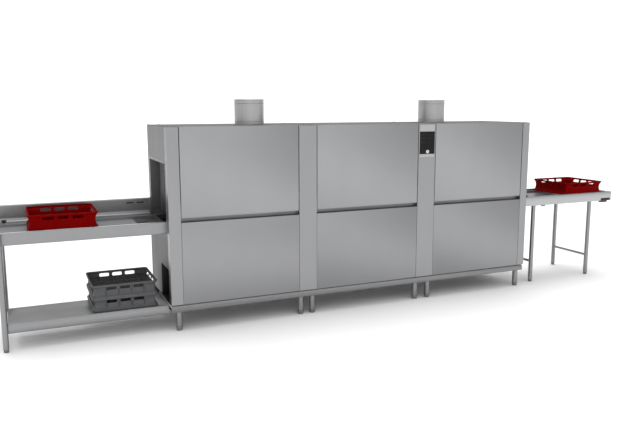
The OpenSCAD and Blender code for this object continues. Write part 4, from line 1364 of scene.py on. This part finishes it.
def lift_ropes(k):
    """The ropes of door k. Each run goes from the pulley down to the door or to the weight."""
    name = f"lift_ropes_{k}"
    shaft = sum(ends(f"lift_shaft_{k}"), Vector()) / 2
    weight_top = ends(f"counterweights_{k}")[1].z
    runs = {f"door_{k}": [], f"counterweights_{k}": []}
    for low, high in solids(name):
        radius = (high.x - low.x) / 2
        x = low.x + radius
        front, back = low.y + radius, high.y - radius
        bend = (back - front) / 2
        arc = []
        for i in range(ROPE_ARC_STEPS + 1):
            angle = math.pi * i / ROPE_ARC_STEPS
            arc.append((x, shaft.y - bend * math.cos(angle), shaft.z + bend * math.sin(angle)))
        drop = [
            (x, front, shaft.z + (low.z - shaft.z) * i / ROPE_RUN_STEPS)
            for i in range(ROPE_RUN_STEPS, 0, -1)
        ]
        tail = [
            (x, back, shaft.z + (weight_top - shaft.z) * i / ROPE_RUN_STEPS)
            for i in range(1, ROPE_RUN_STEPS + 1)
        ]
        runs[f"door_{k}"].append((pipe(drop + arc, radius), (x, front, shaft.z), (x, front, low.z)))
        runs[f"counterweights_{k}"].append(
            (pipe([arc[-1]] + tail, radius), (x, back, shaft.z), (x, back, weight_top))
        )
    for body, made in runs.items():
        rope = piece(f"{body}_ropes", [run[0] for run in made], FINISH["rope"], None)
        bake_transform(rope)
        if body.startswith("door"):
            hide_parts(name)


def arm_centres(node_name):
    """Centres of the round arm ends that point to the front inside a pipe node, as (x, z, radius)."""
    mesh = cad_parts[node_name].data
    front = min(vert.co.y for vert in mesh.vertices)
    groups = []
    for vert in mesh.vertices:
        if vert.co.y - front > 0.1 * MM:
            continue
        for group in groups:
            if abs(group[0].x - vert.co.x) < 60 * MM and abs(group[0].z - vert.co.z) < 60 * MM:
                group.append(vert.co)
                break
        else:
            groups.append([vert.co])
    found = []
    for group in groups:
        xs, zs = [co.x for co in group], [co.z for co in group]
        found.append(((min(xs) + max(xs)) / 2, (min(zs) + max(zs)) / 2, (max(xs) - min(xs)) / 2))
    return sorted(found)


class DISHWASHER_OT_inside(bpy.types.Operator):
    """Adds the spray nozzles and arm caps and the strainer handles."""

    bl_idname = "dishwasher.inside"
    bl_label = "Inside"

    def execute(self, context):
        lane_low, lane_high = ends("entry_rack")
        for name in ("wash_pipes", "rinse_system"):
            front = ends(name)[0].y
            nozzles, caps = [], []
            level = sum(z for x, z, radius in arm_centres(name)) / len(arm_centres(name))
            for x, z, radius in arm_centres(name):
                way = 1 if z < level else -1
                jet = [
                    (0, -1 * MM), (5.5 * MM, -1 * MM), (5.5 * MM, 3 * MM), (2.2 * MM, 6.5 * MM),
                    (0, 6.5 * MM),
                ]
                for i in range(9):
                    y = lane_low.y + 30 * MM + i * (lane_high.y - lane_low.y - 60 * MM) / 8
                    cone = turned(jet, (0, 0, 0), segments=12)
                    turn = Matrix.Identity(4) if way > 0 else Matrix.Rotation(math.pi, 4, "X")
                    nozzles.append(
                        moved(cone, turn, Matrix.Translation((x, y, z + way * (radius - 0.5 * MM))))
                    )
                lid = [(0, 0), (radius + 1.5 * MM, 0), (radius + 1.5 * MM, 12 * MM), (0, 12 * MM)]
                caps.append(turned(lid, (x, front - 1.5 * MM, z), "y", 28))
            piece(name + "_nozzles", nozzles, FINISH["button"], "frame")
            piece(name + "_caps", caps, FINISH["black"], "frame")
        handles = []
        for box_low, box_high in solids("tank_strainers"):
            middle = (box_low + box_high) / 2
            for x in (box_low.x + 180 * MM, box_high.x - 180 * MM):
                handles.append(pipe(
                    [
                        (x - 40 * MM, middle.y, box_high.z - 1 * MM),
                        (x - 40 * MM, middle.y, box_high.z + 12 * MM),
                        (x + 40 * MM, middle.y, box_high.z + 12 * MM),
                        (x + 40 * MM, middle.y, box_high.z - 1 * MM),
                    ],
                    2.5 * MM, 8 * MM,
                ))
        piece("strainer_handles", handles, FINISH["button"], "frame")
        return {"FINISHED"}


class DISHWASHER_OT_stage(bpy.types.Operator):
    """Lays the studio floor and sets the light and the camera."""

    bl_idname = "dishwasher.stage"
    bl_label = "Stage"

    def execute(self, context):
        scene = context.scene
        stage = scene.dishwasher_stage
        ground, reach = CAD_BOX[0][2], 60.0
        shape = bmesh.new()
        bmesh.ops.create_grid(shape, x_segments=2, y_segments=2, size=reach)
        mesh = bpy.data.meshes.new("studio_floor")
        shape.to_mesh(mesh)
        shape.free()
        floor = bpy.data.objects.new("studio_floor", mesh)
        floor.location.z = ground - 0.5 * MM
        scene.collection.objects.link(floor)
        material, tree, shader = shader_of("studio_floor")
        cloud = noise(tree, 0.8, 3.0, 0.5)
        tree.links.new(
            tinted(tree, tuple(stage.floor), ranged(tree, cloud, 0.995, 1.005)),
            shader.inputs["Base Color"],
        )
        shader.inputs["Roughness"].default_value = 0.85
        shader.inputs["Specular IOR Level"].default_value = 0.15
        mesh.materials.append(material)

        world = bpy.data.worlds.new("studio")
        scene.world = world
        world.use_nodes = True
        tree = world.node_tree
        background = tree.nodes["Background"]
        place = tree.nodes.new("ShaderNodeTexCoord")
        split = tree.nodes.new("ShaderNodeSeparateXYZ")
        tree.links.new(place.outputs["Generated"], split.inputs["Vector"])
        side = tree.nodes.new("ShaderNodeMath")
        side.operation = "SUBTRACT"
        tree.links.new(split.outputs["X"], side.inputs[0])
        tree.links.new(split.outputs["Y"], side.inputs[1])
        glow = multiplied(
            tree,
            ranged(tree, side.outputs["Value"], 0.88, 1.04, -1.2, 1.2),
            ranged(tree, split.outputs["Z"], 1.0, 0.45, 0.0, 0.75),
        )
        seen = tree.nodes.new("ShaderNodeLightPath")
        soft = tree.nodes.new("ShaderNodeMix")
        tree.links.new(seen.outputs["Is Diffuse Ray"], soft.inputs["Factor"])
        tree.links.new(glow, soft.inputs["A"])
        soft.inputs["B"].default_value = 0.80
        mix = tree.nodes.new("ShaderNodeMix")
        tree.links.new(seen.outputs["Is Camera Ray"], mix.inputs["Factor"])
        tree.links.new(soft.outputs["Result"], mix.inputs["A"])
        mix.inputs["B"].default_value = 1.3
        scaled = tree.nodes.new("ShaderNodeMath")
        scaled.operation = "MULTIPLY"
        tree.links.new(mix.outputs["Result"], scaled.inputs[0])
        scaled.inputs[1].default_value = stage.sky
        tree.links.new(scaled.outputs["Value"], background.inputs["Strength"])
        background.inputs["Color"].default_value = (1, 1, 1, 1)

        lamps = (
            ("overhead_light", (0.0, 1.4, 6.0), (0.0, 0.0, 0.0), 50.0, 1.8),
            ("front_light", (-1.5, -6.0, 5.0), (0.0, 0.0, 0.6), 60.0, 0.4),
        )
        for name, place, target, spread, power in lamps:
            lamp = bpy.data.lights.new(name, "SUN")
            lamp.angle = math.radians(spread)
            lamp.energy = power
            holder = bpy.data.objects.new(name, lamp)
            holder.location = place
            holder.rotation_euler = (Vector(target) - Vector(place)).to_track_quat("-Z", "Y").to_euler()
            scene.collection.objects.link(holder)
        camera = bpy.data.cameras.new("camera")
        camera.lens = stage.lens
        camera.sensor_width = 36.0
        camera.clip_end = 200.0
        holder = bpy.data.objects.new("camera", camera)
        holder.location = (-2.757, -5.559, 1.776)
        holder.rotation_euler = (math.radians(80.94), 0.0, math.radians(-24.09))
        scene.collection.objects.link(holder)
        scene.camera = holder
        scene.view_settings.view_transform = "Standard"
        scene.view_settings.look = "None"
        return {"FINISHED"}


# -------------------------------------------------------------------- panel

STEPS = ("finishes", "racks", "curtains", "exhausts", "controls", "tables", "casing", "inside", "stage")


class DISHWASHER_PT_panel(bpy.types.Panel):
    """Buttons and settings in the sidebar of the 3D view."""

    bl_idname = "DISHWASHER_PT_panel"
    bl_label = "Rack Conveyor Dishwasher"
    bl_space_type = "VIEW_3D"
    bl_region_type = "UI"
    bl_category = "Dishwasher"

    def draw(self, context):
        layout = self.layout
        for title, settings in (
            ("Steel", context.scene.dishwasher_steel),
            ("Racks", context.scene.dishwasher_racks),
            ("Stage", context.scene.dishwasher_stage),
        ):
            box = layout.box()
            box.label(text=title)
            for name in settings.__annotations__:
                box.prop(settings, name)
        for step in STEPS:
            layout.operator("dishwasher." + step)


CLASSES = (
    SteelSettings,
    RackSettings,
    StageSettings,
    DISHWASHER_OT_finishes,
    DISHWASHER_OT_racks,
    DISHWASHER_OT_curtains,
    DISHWASHER_OT_exhausts,
    DISHWASHER_OT_controls,
    DISHWASHER_OT_tables,
    DISHWASHER_OT_casing,
    DISHWASHER_OT_inside,
    DISHWASHER_OT_stage,
    DISHWASHER_PT_panel,
)
SETTINGS = {
    "dishwasher_steel": SteelSettings,
    "dishwasher_racks": RackSettings,
    "dishwasher_stage": StageSettings,
}


def register():
    for cls in CLASSES:
        bpy.utils.register_class(cls)
    for name, cls in SETTINGS.items():
        setattr(bpy.types.Scene, name, bpy.props.PointerProperty(type=cls))


def unregister():
    for name in SETTINGS:
        delattr(bpy.types.Scene, name)
    for cls in reversed(CLASSES):
        bpy.utils.unregister_class(cls)


def main():
    register()
    for step in STEPS:
        getattr(bpy.ops.dishwasher, step)()


if __name__ == "__main__":
    main()
